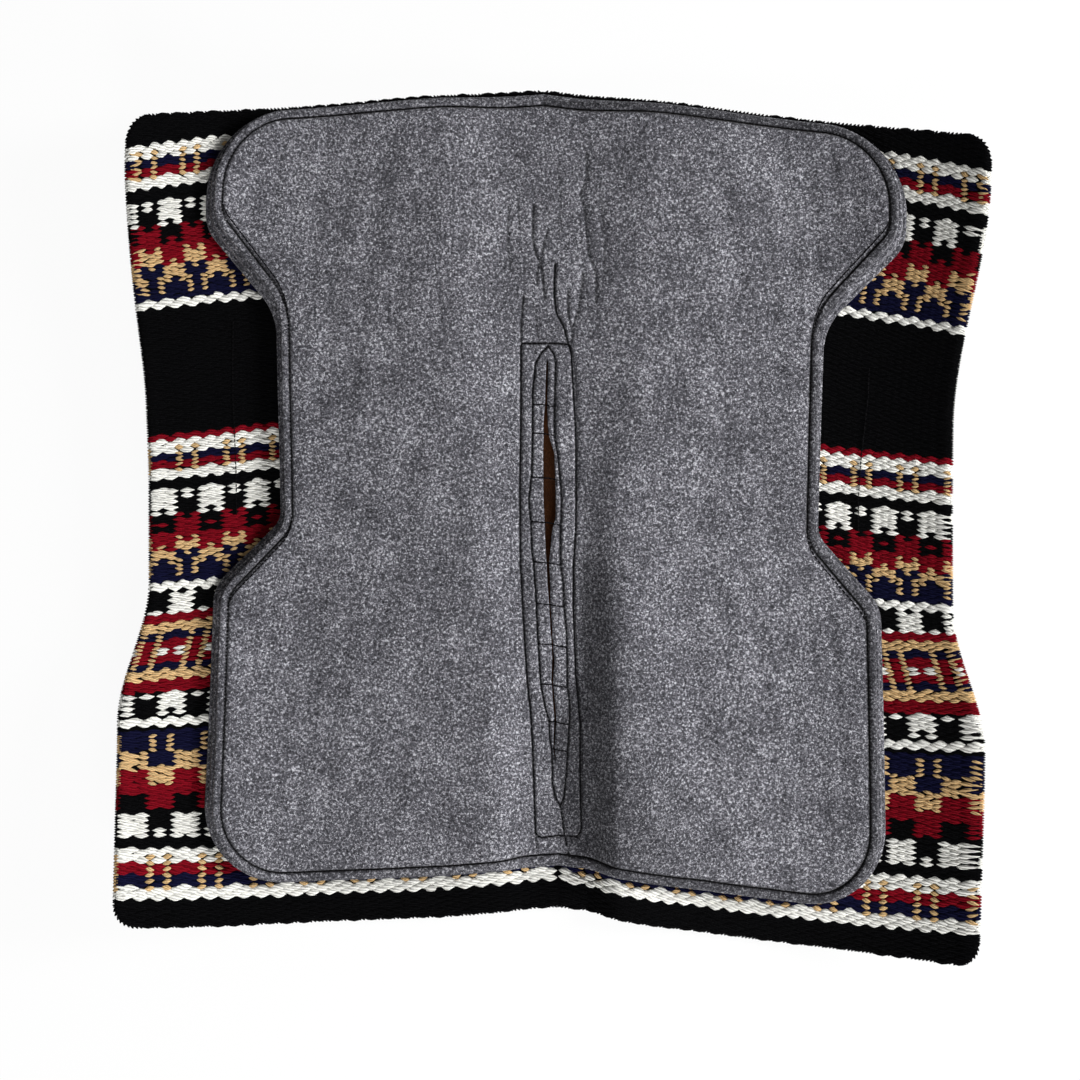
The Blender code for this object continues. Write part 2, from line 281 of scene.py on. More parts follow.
# The slot is pinched at the tacks and gapes in the middle: (v, width) along it.
slot_widths = ((-0.258, 0.0010), (-0.216, 0.0022), (-0.184, 0.0014), (-0.163, 0.0026), (-0.145, 0.0013),
               (-0.125, 0.0020), (-0.105, 0.0013), (-0.085, 0.0028), (-0.063, 0.0026), (-0.048, 0.0050),
               (-0.030, 0.0072), (-0.018, 0.0112), (0.002, 0.0122), (0.046, 0.0112), (0.062, 0.0052),
               (0.080, 0.0038), (0.092, 0.0022), (0.115, 0.0022), (0.137, 0.0018))
slot_blanket_margin = 0.0015
cloth_inset = 0.0015
cloth_edge_round = 0.0030
cloth_half_thickness = 0.0030
cloth_edge_swell = 0.0006
cloth_edge_swell_width = 0.008
cloth_edge_spacing = 0.006
cloth_field_spacing = 0.008
cloth_ring_depths = (0.0008, 0.0018, 0.0035)


class Wire:
    """An output of a node. Sums and products of wires and numbers add the Math nodes that work them out."""

    def __init__(self, tree, socket=None):
        self.tree = tree
        self.socket = socket

    def node(self, kind, settings=(), sockets=(), out=0):
        """Adds a node: first its settings, then the value or the wire of each socket."""
        made = self.tree.nodes.new(kind)
        for name, value in dict(settings).items():
            if name == "stops":
                for index, (place, grey) in enumerate(value):
                    ramp = made.color_ramp.elements
                    stop = ramp[index] if index < 2 else ramp.new(place)
                    stop.position = place
                    stop.color = (*grey, 1) if isinstance(grey, tuple) else (grey, grey, grey, 1)
            else:
                setattr(made, name, value)
        for name, value in dict(sockets).items():
            if isinstance(value, Wire):
                self.tree.links.new(value.socket, made.inputs[name])
            else:
                made.inputs[name].default_value = value
        return Wire(self.tree, made.outputs[out])

    def math(self, operation, *values):
        return self.node("ShaderNodeMath", {"operation": operation}, dict(enumerate(values)))

    def __add__(self, other):
        return self.math("ADD", self, other)

    def __sub__(self, other):
        return self.math("SUBTRACT", self, other)

    def __rsub__(self, other):
        return self.math("SUBTRACT", other, self)

    def __mul__(self, other):
        return self.math("MULTIPLY", self, other)

    def __pow__(self, other):
        return self.math("POWER", self, other)

    def __abs__(self):
        return self.math("ABSOLUTE", self)

    __radd__ = __add__
    __rmul__ = __mul__

    def sine(self):
        return self.math("SINE", self)

    def limited(self):
        """The value kept between 0 and 1."""
        return self.node("ShaderNodeClamp", (), {0: self})

    def shaded(self, amount):
        """This colour made lighter or darker by an amount."""
        grey = self.node("ShaderNodeCombineColor", (), {0: amount, 1: amount, 2: amount})
        return self.node("ShaderNodeMix", {"data_type": "RGBA", "blend_type": "MULTIPLY"},
                         {"Factor": 1.0, 6: self, 7: grey}, out=2)

    def mixed(self, other, share):
        """This colour mixed with another."""
        return self.node("ShaderNodeMix", {"data_type": "RGBA"}, {"Factor": share, 6: self, 7: other}, out=2)

    def noise(self, scale, detail=2.0, roughness=0.5, distortion=0.0):
        """Noise over these coordinates."""
        return self.node("ShaderNodeTexNoise", (), {"Vector": self, "Scale": scale, "Detail": detail,
                                                    "Roughness": roughness, "Distortion": distortion})

    def stretched(self, x, y, z):
        """These coordinates scaled along each axis."""
        return self.node("ShaderNodeMapping", (), {"Vector": self, "Scale": (x, y, z)})

    def into(self, socket):
        self.tree.links.new(self.socket, socket)


def paint(red, green, blue):
    """A colour as a shader takes it, from how it looks on a scale to 255."""
    return tuple(((value / 255 + 0.055) / 1.055) ** 2.4 if value > 10 else value / 255 / 12.92
                 for value in (red, green, blue))


def new_finish(name, roughness, specular_level, sheen=0.0):
    """A material with its shader and a wire to build on."""
    material = bpy.data.materials.new(name)
    material.use_nodes = True
    shader = material.node_tree.nodes["Principled BSDF"]
    shader.inputs["Roughness"].default_value = roughness
    shader.inputs["Specular IOR Level"].default_value = specular_level
    shader.inputs["Sheen Weight"].default_value = sheen
    shader.inputs["Sheen Roughness"].default_value = 0.6
    return material, shader, Wire(material.node_tree)


def give_bump(shader, wire, height, distance, strength=1.0):
    """Raises the surface by a wire's height."""
    wire.node("ShaderNodeBump", (), {"Height": height, "Distance": distance, "Strength": strength}).into(
        shader.inputs["Normal"])


def make_cloth_finish():
    """Packed black and brown wool, as the edges and gaps of the weave show."""
    material, shader, start = new_finish("packed_wool", 0.98, 0.02)
    place = start.node("ShaderNodeTexCoord", out="Object")
    fibre = place.noise(1500, 3, 0.7, 1.0)
    dark = start.node("ShaderNodeValToRGB", {"stops": [(0.3, paint(2, 2, 3)), (0.8, paint(14, 13, 14))]},
                      {"Fac": fibre})
    dark.into(shader.inputs["Base Color"])
    give_bump(shader, start, fibre, 0.0008)
    return material


def blanket_half_width(v):
    """The half width of the weave, drawn in at the waist."""
    past = v - blanket_waist_centre
    flare = np.where(past > 0, blanket_rear_flare, blanket_front_flare)
    share = ease((np.abs(past) - blanket_waist_straight / 2) / flare)
    return blanket_waist_half_width + (blanket_corner_half_width - blanket_waist_half_width) * share


def slot_half_width(v):
    """Half the width of the slot along the spine."""
    return np.interp(v, *zip(*slot_widths)) / 2


def blanket_edge(inset):
    """The outer edge of the right half from the spine's front end round to its rear end."""
    end = pad_length / 2 - inset
    radius = blanket_corner_radius - inset
    places = np.linspace(-end + 2 * radius, end - 2 * radius, 60)
    corners = [(0.0, -end, 0), (float(blanket_half_width(-end)) - inset, -end, radius)]
    corners += [(float(blanket_half_width(v)) - inset, v, 0) for v in places]
    corners += [(float(blanket_half_width(end)) - inset, end, radius), (0.0, end, 0)]
    return rounded(corners)


def spine_side(front, rear, margin, spacing):
    """The line down the spine from its rear end to its front end, which goes round the slot."""
    v = np.arange(rear, front, -spacing)[1:]
    v = v[v - front > spacing / 2]
    within = (v > slot_front_end - margin) & (v < slot_rear_end + margin)
    x = np.where(within, slot_half_width(v) + margin, 0.0)
    return np.stack([x, v], axis=1)


packed_wool = make_cloth_finish()
cloth_pieces = {}
for side in (-1, 1):
    edge = resampled(blanket_edge(cloth_inset), cloth_edge_spacing)
    end = pad_length / 2 - cloth_inset
    outline = np.concatenate([edge, spine_side(-end, end, slot_blanket_margin, cloth_edge_spacing)])
    rings = [resampled(blanket_edge(cloth_inset + depth), cloth_edge_spacing)[1:-1] for depth in cloth_ring_depths]
    points = field((cloth_field_spacing, -end), (blanket_corner_half_width, end), cloth_field_spacing)
    points = points[inside(points, outline)]
    points = points[distance_from(points, edge) > field_clearance]
    flat, faces = fill_outline(outline, np.concatenate([*rings, points]), side)
    depth = distance_from(flat * [side, 1], edge)
    sunk = cloth_edge_round - np.sqrt(
        np.maximum(0, cloth_edge_round ** 2 - np.maximum(0, cloth_edge_round - depth) ** 2))
    middle = blanket_base + blanket_thickness / 2
    half = cloth_half_thickness + cloth_edge_swell * (1 - ease(depth / cloth_edge_swell_width))
    top = lay(flat[:, 0], flat[:, 1], middle + half - sunk)
    bottom = lay(flat[:, 0], flat[:, 1], middle - half + sunk)
    name = side_names[side]
    cloth = close_sheet(f"blanket_{name}_cloth", top, bottom, faces, packed_wool, 60)
    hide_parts(f"blanket_{name}", f"blanket_{name}_margin")
    cloth_pieces[side] = cloth

# The woven blanket: the weft
# Thick two-strand wool is woven in rows of dark, cream, red, navy and gold. Each pass of yarn floats over one
# warp and dives under the next, so a row is a line of lens-shaped floats, and the next half row lies between.
rear_curve_share = {-1: 0.028, 1: 0.036}
front_curve_share = {-1: 0.0, 1: 0.018}
weave_start = 0.4255
right_drop = 0.0045
rear_row_stretch = {-1: 0.988, 1: 1.002}
front_row_stretch = {-1: 0.961, 1: 0.969}
# Rows don't run square to the spine everywhere: (w, slope) down the left and the right half.
row_tilt = {-1: ((-0.38, 0.0), (-0.25, -0.02), (-0.105, -0.100), (-0.060, -0.030), (0.09, -0.045), (0.20, -0.015),
                 (0.35, 0.0)),
            1: ((-0.38, 0.0), (-0.25, 0.03), (-0.105, 0.095), (-0.060, 0.005), (0.09, 0.025), (0.20, -0.015),
                (0.35, 0.0))}
row_tilt_pivot = 0.345
# Each yarn has a colour, the height of its floats, and their width and length in rows and warps. Gold lies in
# single floats (G) or packed full (g).
yarns = {
    "K": (paint(3, 3, 4), 0.0032, 1.12, 2.15),
    "W": (paint(255, 254, 247), 0.0042, 1.12, 1.95),
    "R": (paint(130, 11, 27), 0.0034, 1.12, 2.00),
    "N": (paint(16, 17, 46), 0.0033, 1.12, 2.10),
    "G": (paint(232, 194, 140), 0.0036, 0.78, 1.30),
    "g": (paint(232, 194, 140), 0.0037, 1.04, 1.72),
}
# The warps spread a little from the rear to the front. Each group of bands gives their pitch, and where the warp
# in the middle of a motif lies on the left and on the right, as shares of the half width.
rear_warps = (0.0161, 0.857, 0.864)
waist_warps = (0.0188, 0.911, 0.893)
stepped_warps = (0.0182, 0.865, 0.950)
centre_warps = (0.0185, 0.8585, 0.837)
saddle_warps = (0.0190, 0.827, 0.810)
front_warps = (0.0192, 0.904, 0.881)
stepped_motif = ["KWKWWW"] * 2 + ["KKKWWW"] * 2 + ["KKKWKW"]
rising_stairs = ["RKRKKK"] + ["RRRKKK"] * 2 + ["RRRKRK", "RRRRRR", "GRGRRR"] + ["gggRRR"] * 2 + ["gggRGR"]
rising_stairs += ["NGNggg"] + ["NNNggg"] * 2 + ["GNGGNG"] + ["GNGNNN"] * 3 + ["NNNNNN"]
short_stairs = ["RKRKKK", "RRRKKK", "RRRKRK", "RRRKKK", "RRRRRR", "GRGRRR", "gggRRR", "gggRGR"]
short_stairs += ["NGNggg", "NNNggg", "GNGGNG"] + ["GNGNNN"] * 3 + ["NNNNNN"]
draft = (
    (0.0355, rear_warps, ["KKKKKK"] * 7),
    (0.0135, rear_warps, ["WWWWWW", "GWGWWW"]),
    (0.0180, rear_warps, ["GNGNNN"] * 2 + ["GRGRRR"] * 2),
    (0.0130, rear_warps, ["GWGWWW", "WWWWWW"]),
    (0.0120, rear_warps, ["KKKKKK"] * 2),
    (0.0265, rear_warps, stepped_motif),
    (0.0765, rear_warps, rising_stairs),
    (0.0080, waist_warps, ["WWWWWW"]),
    (0.1300, waist_warps, ["KKKKKK"] * 26),
    (0.0060, waist_warps, ["RRRRRR"]),
    (0.0132, waist_warps, ["WWWWWW", "GWGWWW"]),
    (0.0155, waist_warps, ["GNGNNN"] * 2 + ["GRGRRR"] * 2),
    (0.0115, waist_warps, ["GWGWWW", "WWWWWW"]),
    (0.0092, waist_warps, ["KKKKKK"] * 2),
    (0.0275, waist_warps, stepped_motif),
    (0.0711, waist_warps, short_stairs),
    (0.0085, stepped_warps, ["WWWWWW"]),
    (0.0235, stepped_warps, stepped_motif[:0:-1]),
    (0.0085, centre_warps, ["RRRRRR"] * 2),
    (0.0090, centre_warps, ["gggggg"] * 2),
    (0.0085, centre_warps, ["GNGNNN"] * 2),
    (0.0245, centre_warps, ["GRGRRR"] * 2 + ["GRGWRW"] * 2 + ["GRGRRR"] * 2),
    (0.0080, centre_warps, ["GNGNNN"] * 2),
    (0.0110, centre_warps, ["gggggg"] * 2),
    (0.0125, centre_warps, ["RRRRRR"] * 3),
    (0.0240, saddle_warps, stepped_motif[1:]),
    (0.0040, saddle_warps, ["KKKKKK"]),
    (0.0085, saddle_warps, ["WWWWWW"]),
    (0.0040, saddle_warps, ["KKKKKK"]),
    (0.0855, front_warps, rising_stairs[::-1]),
    (0.0265, front_warps, stepped_motif[::-1]),
    (0.0120, front_warps, ["KKKKKK"] * 2),
    (0.0140, front_warps, ["WWWWWW", "GWGWWW"]),
    (0.0250, front_warps, ["GRGRRR"] * 2 + ["GNGNNN"] * 2),
    (0.0140, front_warps, ["GWGWWW", "WWWWWW"]),
    (0.0355, front_warps, ["KKKKKK"] * 7),
)
float_wander = 0.0004
float_length_spread = 0.04
float_wobble = math.radians(2.5)
# How far the middles of the floats stand out from the middle of the cloth.
float_height = 0.0029
# How much room a float needs to the edge and to the slot, and how near to the edge the last one comes.
float_edge_room = 0.0020
float_slot_room = 0.004
float_edge_gap = 0.0005
shortest_float = 0.003
# How steeply the gold floats pull askew, the single ones most, and the others a little.
askew_slopes = {"G": 0.28, "g": 0.16}
other_askew_slope = 0.04
# The saddle side is covered by three pieces of weft, which meet this far in front of and behind the middle.
saddle_side_split = 0.13


def make_wool_finish():
    """Wool yarn of a few strands that run along the float, with painted shade between the strands, a painted sheen
    where loose fibres would catch light, and uneven dye.
    """
    material, shader, start = new_finish("wool_yarn", 0.95, 0.035)
    yarn = start.node("ShaderNodeAttribute", {"attribute_name": "yarn"}, out="Color")
    shade = start.node("ShaderNodeAttribute", {"attribute_name": "shade"}, out="Fac")
    within = start.node("ShaderNodeAttribute", {"attribute_name": "within"}, out="Vector")
    split = start.tree.nodes.new("ShaderNodeSeparateXYZ")
    within.into(split.inputs[0])
    along, across = Wire(start.tree, split.outputs[0]), Wire(start.tree, split.outputs[1])
    place = start.node("ShaderNodeTexCoord", out="Object")
    fibre = place.noise(1400, 3, 0.7, 0.6)
    crooked = place.noise(300, 2, 0.5) * 2.2
    twist = (along * 4.0 + across * 8.5 + shade * 9 + crooked).sine()
    strands = abs(twist) ** 0.6
    # Painted shade in the grooves between strands, with dye that varies from float to float and fibre to fibre.
    tone = (0.74 + shade * 0.20 + fibre * 0.36) * (0.60 + strands * 0.40)
    # A painted sheen: loose fibres mixed towards grey where they would catch light.
    painted_fibre_sheen = (fibre - 0.5).limited() * strands * 0.35
    yarn.shaded(tone).mixed((0.09, 0.09, 0.095, 1), painted_fibre_sheen).into(shader.inputs["Base Color"])
    give_bump(shader, start, strands + fibre * 0.5, 0.0014)
    return material


def make_shape(name, segments, rings, taper):
    """A spindle one unit long and wide, to be set many times. A high taper gives it blunt ends."""
    points, faces = [], []
    for segment in range(segments):
        turn = 2 * math.pi * segment / segments
        for ring in range(1, rings):
            x = math.cos(math.pi * ring / rings) / 2
            radius = (1 - abs(2 * x) ** taper) / 2
            points.append((x, radius * math.cos(turn), -radius * math.sin(turn)))
    front_end, rear_end = len(points), len(points) + 1
    points += [(0.5, 0.0, 0.0), (-0.5, 0.0, 0.0)]
    for segment in range(segments):
        here, there = segment * (rings - 1), (segment + 1) % segments * (rings - 1)
        faces += [(here, front_end, there), (rear_end, here + rings - 2, there + rings - 2)]
        faces += [(here + ring + 1, here + ring, there + ring, there + ring + 1) for ring in range(rings - 2)]
    mesh = bpy.data.meshes.new(name)
    mesh.from_pydata(points, [], faces)
    mesh.shade_smooth()
    within = mesh.attributes.new("within", "FLOAT_VECTOR", "POINT")
    within.data.foreach_set("vector", np.array([vert.co for vert in mesh.vertices]).ravel())
    shape = bpy.data.objects.new(name, mesh)
    bpy.context.scene.collection.objects.link(shape)
    return shape


def make_setting_tree():
    """A node tree that sets a shape at every point, turned along the surface and scaled to its size."""
    tree = bpy.data.node_groups.new("set_along_surface", "GeometryNodeTree")
    tree.is_modifier = True
    sockets = {}
    for name, kind in (("Points", "Geometry"), ("Shape", "Object"), ("Length", "Float"), ("Width", "Float"),
                       ("Height", "Float"), ("Wobble", "Float"), ("Seed", "Int"), ("Finish", "Material")):
        made = tree.interface.new_socket(name, in_out="INPUT", socket_type=f"NodeSocket{kind}")
        sockets[name] = made.identifier
    tree.interface.new_socket("Set", in_out="OUTPUT", socket_type="NodeSocketGeometry")
    given = tree.nodes.new("NodeGroupInput")
    start = Wire(tree)
    given = {socket.name: Wire(tree, socket) for socket in given.outputs if socket.name}
    named = {}
    for name in ("along", "out", "size"):
        named[name] = start.node("GeometryNodeInputNamedAttribute", {"data_type": "FLOAT_VECTOR"},
                                 {"Name": name})
    facing = start.node("FunctionNodeAxesToRotation", {"primary_axis": "Z", "secondary_axis": "X"},
                        {0: named["out"], 1: named["along"]})
    wobble = start.node("FunctionNodeRandomValue", {"data_type": "FLOAT"},
                        {2: given["Wobble"] * -1, 3: given["Wobble"], "Seed": given["Seed"]}, out=1)
    turn = start.node("FunctionNodeAxisAngleToRotation", (), {"Axis": (0, 0, 1), "Angle": wobble})
    facing = start.node("FunctionNodeRotateRotation", {"rotation_space": "LOCAL"}, {0: facing, 1: turn})
    sizes = start.node("ShaderNodeCombineXYZ", (),
                       {0: given["Length"], 1: given["Width"], 2: given["Height"]})
    scale = start.node("ShaderNodeVectorMath", {"operation": "MULTIPLY"}, {0: named["size"], 1: sizes})
    shape = start.node("GeometryNodeObjectInfo", (), {"Object": given["Shape"]}, out="Geometry")
    placed = start.node("GeometryNodeInstanceOnPoints", (), {"Points": given["Points"], "Instance": shape,
                                                             "Rotation": facing, "Scale": scale})
    real = start.node("GeometryNodeRealizeInstances", (), {0: placed})
    done = start.node("GeometryNodeSetMaterial", (), {0: real, "Material": given["Finish"]})
    result = tree.nodes.new("NodeGroupOutput")
    done.into(result.inputs[0])
    return tree, sockets


setting_tree, setting_sockets = make_setting_tree()


def set_shapes(name, shape, finish, places, along, out, sizes, colours=None, shades=None, seed=1,
               length=1.0, width=1.0, height=1.0, wobble=0.0):
    """One mesh of a shape set at every place, by geometry nodes."""
    mesh = bpy.data.meshes.new(name)
    mesh.from_pydata([tuple(place) for place in places], [], [])
    for title, values in (("along", along), ("out", out), ("size", sizes)):
        mesh.attributes.new(title, "FLOAT_VECTOR", "POINT").data.foreach_set("vector", values.ravel())
    if colours is not None:
        opaque = np.concatenate([colours, np.ones((len(colours), 1))], axis=1)
        mesh.attributes.new("yarn", "FLOAT_COLOR", "POINT").data.foreach_set("color", opaque.ravel())
        mesh.attributes.new("shade", "FLOAT", "POINT").data.foreach_set("value", shades)
    points = bpy.data.objects.new(f"{name}_points", mesh)
    bpy.context.scene.collection.objects.link(points)
    modifier = points.modifiers.new("setting", "NODES")
    modifier.node_group = setting_tree
    settings = {"Shape": shape, "Length": length, "Width": width, "Height": height, "Wobble": wobble,
                "Seed": seed, "Finish": finish}
    for title, value in settings.items():
        modifier[setting_sockets[title]] = value
    graph = bpy.context.evaluated_depsgraph_get()
    real = bpy.data.meshes.new_from_object(points.evaluated_get(graph))
    bpy.data.objects.remove(points)
    real.name = name
    real.materials.clear()
    real.materials.append(finish)
    for title in ("along", "out", "size"):
        if title in real.attributes:
            real.attributes.remove(real.attributes[title])
    made = bpy.data.objects.new(name, real)
    bpy.context.scene.collection.objects.link(made)
    return made


def row_place(x, w, side):
    """Where a row of the weave lies: rows are drawn towards the waist near the side edges."""
    curve = np.where(w > 0, rear_curve_share[side], front_curve_share[side])
    woven = w * np.where(w > 0, rear_row_stretch[side], front_row_stretch[side])
    dropped = right_drop * ease((w + 0.06) / 0.1) if side > 0 else 0.0
    tilted = np.interp(w, *zip(*row_tilt[side])) * (x - row_tilt_pivot) * ease(x / 0.2)
    return woven * (1 - curve * (x / blanket_corner_half_width) ** 4) - dropped + tilted


def row_slope(x, w, side):
    """How steeply a row runs at a place."""
    step = 0.001
    return (row_place(x + step, w, side) - row_place(x - step, w, side)) / (2 * step)


def weave_rows(side):
    """Every half row of one half of the weave, as (w, height, letters, warps, parity)."""
    rows = []
    w = weave_start
    for height, warps, lines in draft:
        pitch = height / len(lines)
        for line in lines:
            rows += [(w - pitch * (0.25 + parity / 2), pitch, line, warps, parity) for parity in (0, 1)]
            w -= pitch
    return rows


def weave_floats(side):
    """The places, row heights, float lengths, slopes and yarns of all floats of one half of the weave."""
    floats = []
    for w, height, line, (pitch_share, left_share, right_share), parity in weave_rows(side):
        half_width = float(blanket_half_width(w))
        pitch = pitch_share * half_width
        middle = half_width * (left_share if side < 0 else right_share)
        for warp in range(math.ceil(-middle / pitch), math.floor((half_width - middle) / pitch) + 1):
            if (warp + 1) % 2 == parity:
                x = middle + warp * pitch
                floats.append((x, w, height, pitch, line[(warp + 1) % 6]))
    x, w, height, pitch = (np.array([found[k] for found in floats]) for k in range(4))
    letters = [found[4] for found in floats]
    return x, row_place(x, w, side), height, pitch, row_slope(x, w, side), letters


def cloth_side(face):
    """A function that gives the places on one face of the cloth, 1 for the felt's side and -1 for the other."""

    def place(x, v):
        return lay(x, v, blanket_base + blanket_thickness / 2 + face * float_height)

    return place


def felt_edge(inset, side):
    """The edge of one half of a felt layer, from the spine's front end round to its rear end."""
    front, rear = felt_front_end + inset, felt_rear_end - inset
    shoulder, waist, corner = felt_reach[side]
    # The corners of the outline as (x, v, radius).
    return rounded([
        (0.0, front, 0),
        (shoulder - inset, front, 0.078 - inset),
        (shoulder - 0.009 - inset, -0.066 - inset, 0.040 - inset),
        (waist - inset, -0.004 - inset, 0.022 + inset),
        (waist + 0.005 - inset, 0.202 + inset, 0.070 + inset),
        (corner - inset, 0.291 + inset, 0.045 - inset),
        (corner - inset, rear, 0.078 - inset),
        (0.0, rear, 0),
    ])


def within_felt(points, inset, side):
    """Whether flat points of one half lie within a felt layer drawn in by inset."""
    return inside(points, np.concatenate([felt_edge(inset, side), [[0.0, felt_front_end]]]))


# The half width of the felt at its front shoulders, its waist and its rear corners, on each side.
felt_reach = {-1: (0.342, 0.268, 0.345), 1: (0.335, 0.264, 0.346)}
# The weft is left out where the felt and the leathers hide it, up to this far within their edges.
leather_inset = 0.006
felt_overlap = 0.010
wear_leather_inner = 0.165
wear_leather_outer = 0.318
wear_leather_front = -0.150
wear_leather_rear = 0.210
wool_yarn = make_wool_finish()
float_shape = make_shape("yarn_float", segments=6, rings=6, taper=1.7)
weft_pieces = {-1: [], 1: []}
for side in (-1, 1):
    name = side_names[side]
    rng = np.random.default_rng(41 + side)
    x, v, height, pitch, slope, letters = weave_floats(side)
    v = v + rng.normal(0, float_wander, len(v))
    flat = np.stack([x, v], axis=1)
    edge = blanket_edge(0.0)
    room = distance_from(flat, edge) * np.where(inside(flat, edge), 1, -1)
    kept = (room > float_edge_room) & (x > 0.25 * pitch)
    kept &= ~((x < slot_half_width(v) + float_slot_room) & (v > slot_front_end) & (v < slot_rear_end))
    past = np.maximum(0, np.abs(v) - pad_length / 2 + blanket_corner_radius)
    cut_away = blanket_corner_radius - np.sqrt(np.maximum(0, blanket_corner_radius ** 2 - past ** 2))
    side_room = blanket_half_width(v) - cut_away - x - float_edge_gap
    colours, thick, width_shares, length_shares = (
        np.array([yarns[letter][k] for letter in letters]) for k in range(4))
    lengths = length_shares * pitch * rng.normal(1.0, float_length_spread, len(x))
    # The last float of each pass goes on to the edge.
    last = side_room < 2 * pitch + float_edge_room
    shift = np.where(last, (side_room - lengths / 2) / 2, 0.0)
    lengths = np.where(last, np.maximum(lengths / 2 + side_room, shortest_float), lengths)
    x, v = x + shift, v + slope * shift
    widths = np.minimum(width_shares * height, 2 * room)
    shades = rng.random(len(x))
    # Floats pull askew now one way and now the other.
    askew = np.array([askew_slopes.get(letter, other_askew_slope) for letter in letters])
    slope = slope + askew * rng.choice([-1, 1], len(x))
    under_leather = (x > wear_leather_inner + leather_inset) & (x < wear_leather_outer - leather_inset)
    under_leather &= (v > wear_leather_front + leather_inset) & (v < wear_leather_rear - leather_inset)
    under_leather |= x < fold - leather_inset
    under_felt = within_felt(flat, felt_overlap, side)
    groups = (
        ("felt_side", 1, kept & ~under_felt),
        ("saddle_side_rear", -1, kept & ~under_leather & (v > saddle_side_split)),
        ("saddle_side_middle", -1, kept & ~under_leather & (np.abs(v) <= saddle_side_split)),
        ("saddle_side_front", -1, kept & ~under_leather & (v < -saddle_side_split)),
    )
    for seed, (title, face, chosen) in enumerate(groups):
        place = cloth_side(face)
        px, pv, run = side * x[chosen], v[chosen], side * slope[chosen]
        out = surface_axes(place, px, pv)[2]
        step = 0.003
        along = unit(place(px + step, pv + run * step) - place(px - step, pv - run * step))
        sizes = np.stack([lengths[chosen], widths[chosen], thick[chosen]], axis=1)
        weft = set_shapes(f"blanket_{name}_weft_{title}", float_shape, wool_yarn, place(px, pv),
                          along, out * face, sizes, colours[chosen], shades[chosen], seed=seed + 3,
                          wobble=float_wobble)
        weft_pieces[side].append(weft)

# The edges of the weave
# At the side edges each pass of weft turns round the last warp and goes back. Along the front and rear ends the
# warp is closed by a black cord that is twined through it.
turn_shape = make_shape("yarn_turn", segments=6, rings=5, taper=3.0)
turn_length = 0.0105
turn_height = 0.0074
# The width of a turn, in rows of the weave.
turn_width_share = 0.66
turn_wobble = math.radians(4)
cord_pitch = 0.0036
cord_angle = math.radians(52)
cord_width = cord_pitch * 1.05
cord_length = turn_length * 1.1
edge_depth = 0.0044


def stitches_along(path, pitch):
    """The middles and directions of stitches along a flat path."""
    points = resampled(path, pitch)
    return (points[:-1] + points[1:]) / 2, unit(np.diff(points, axis=0))


def cloth_middle(x, v):
    """The places halfway through the cloth."""
    return lay(x, v, blanket_base + blanket_thickness / 2)


for side in (-1, 1):
    rng = np.random.default_rng(67 + side)
    rows = weave_rows(side)
    w = np.array([row[0] for row in rows])
    x = blanket_half_width(row_place(0.4 + 0 * w, w, side)) - edge_depth
    v = row_place(x, w, side)
    kept = np.abs(v) < pad_length / 2 - blanket_corner_radius
    letters = []
    for row in rows:
        half_width = float(blanket_half_width(row[0]))
        middle = half_width * row[3][1 if side < 0 else 2]
        letters.append(row[2][(round((half_width - middle) / (row[3][0] * half_width)) + 1) % 6])
    places = np.stack([side * x, v], axis=1)[kept]
    runs = np.tile([1.0, 0.0], (len(places), 1))
    widths = np.array([row[1] for row in rows])[kept] * turn_width_share
    lengths = np.full(len(places), turn_length)
    colours = np.array([yarns[letter][0] for letter in letters])[kept]
    edge = blanket_edge(edge_depth)
    cord, cord_runs = stitches_along(edge, cord_pitch)
    ends = np.abs(cord[:, 1]) > pad_length / 2 - blanket_corner_radius
    cord, cord_runs = cord[ends], cord_runs[ends]
    turned = np.stack([cord_runs[:, 0] * math.cos(cord_angle) - cord_runs[:, 1] * math.sin(cord_angle),
                       cord_runs[:, 0] * math.sin(cord_angle) + cord_runs[:, 1] * math.cos(cord_angle)], axis=1)
    places = np.concatenate([places, cord * [side, 1]])
    runs = np.concatenate([runs, turned * [side, 1]])
    widths = np.concatenate([widths, np.full(len(cord), cord_width)])
    lengths = np.concatenate([lengths, np.full(len(cord), cord_length)])
    colours = np.concatenate([colours, np.tile(yarns["K"][0], (len(cord), 1))])
    across, along, out = surface_axes(cloth_middle, places[:, 0], places[:, 1])
    sizes = np.stack([lengths, widths, np.full(len(places), turn_height)], axis=1)
    turns = set_shapes(f"blanket_{side_names[side]}_edge_turns", turn_shape, wool_yarn,
                       cloth_middle(places[:, 0], places[:, 1]), across * runs[:, :1] + along * runs[:, 1:], out,
                       sizes, colours, rng.random(len(places)), seed=9, wobble=turn_wobble)
    weft_pieces[side].append(turns)

for side in (-1, 1):
    for piece in [cloth_pieces[side], *weft_pieces[side]]:
        hang(piece)
bpy.data.objects.remove(float_shape)
bpy.data.objects.remove(turn_shape)

# The felt liner
# Three layers of pressed wool felt, each cut a little smaller than the one under it, are stitched together and
# to the weave round the edge and along the spine. The stitches draw the top layer down into channels.
# The two hidden layers: name, what lies under it that is hard and that is soft, its thickness and its inset.
felt_layers = (("felt_backing", 0.0115, 0.0, 0.005, 0.0), ("felt_core", 0.0120, 0.005, 0.008, 0.0025))
contact_hard = 0.0125
contact_soft = 0.013
contact_thickness = 0.006
contact_inset = 0.005
# The cut edges are rounded over by pressing and wear, and the border slopes down to them a little.
layer_edge_round = 0.0014
layer_edge_spacing = 0.005
layer_field_spacing = 0.0075
layer_ring_depths = (0.0005, 0.0014, 0.004)
contact_edge_width = 0.0016
contact_edge_drop = 0.0015
border_drop = 0.0010
border_drop_width = 0.009
stitch_inset = 0.0082
strip_front = -0.332
strip_rear = 0.153
edge_seam_depth = 0.0026
edge_seam_half_width = 0.0024
seam_depth = 0.0020
seam_half_width = 0.0030
seam_shade_half_width = 0.0015
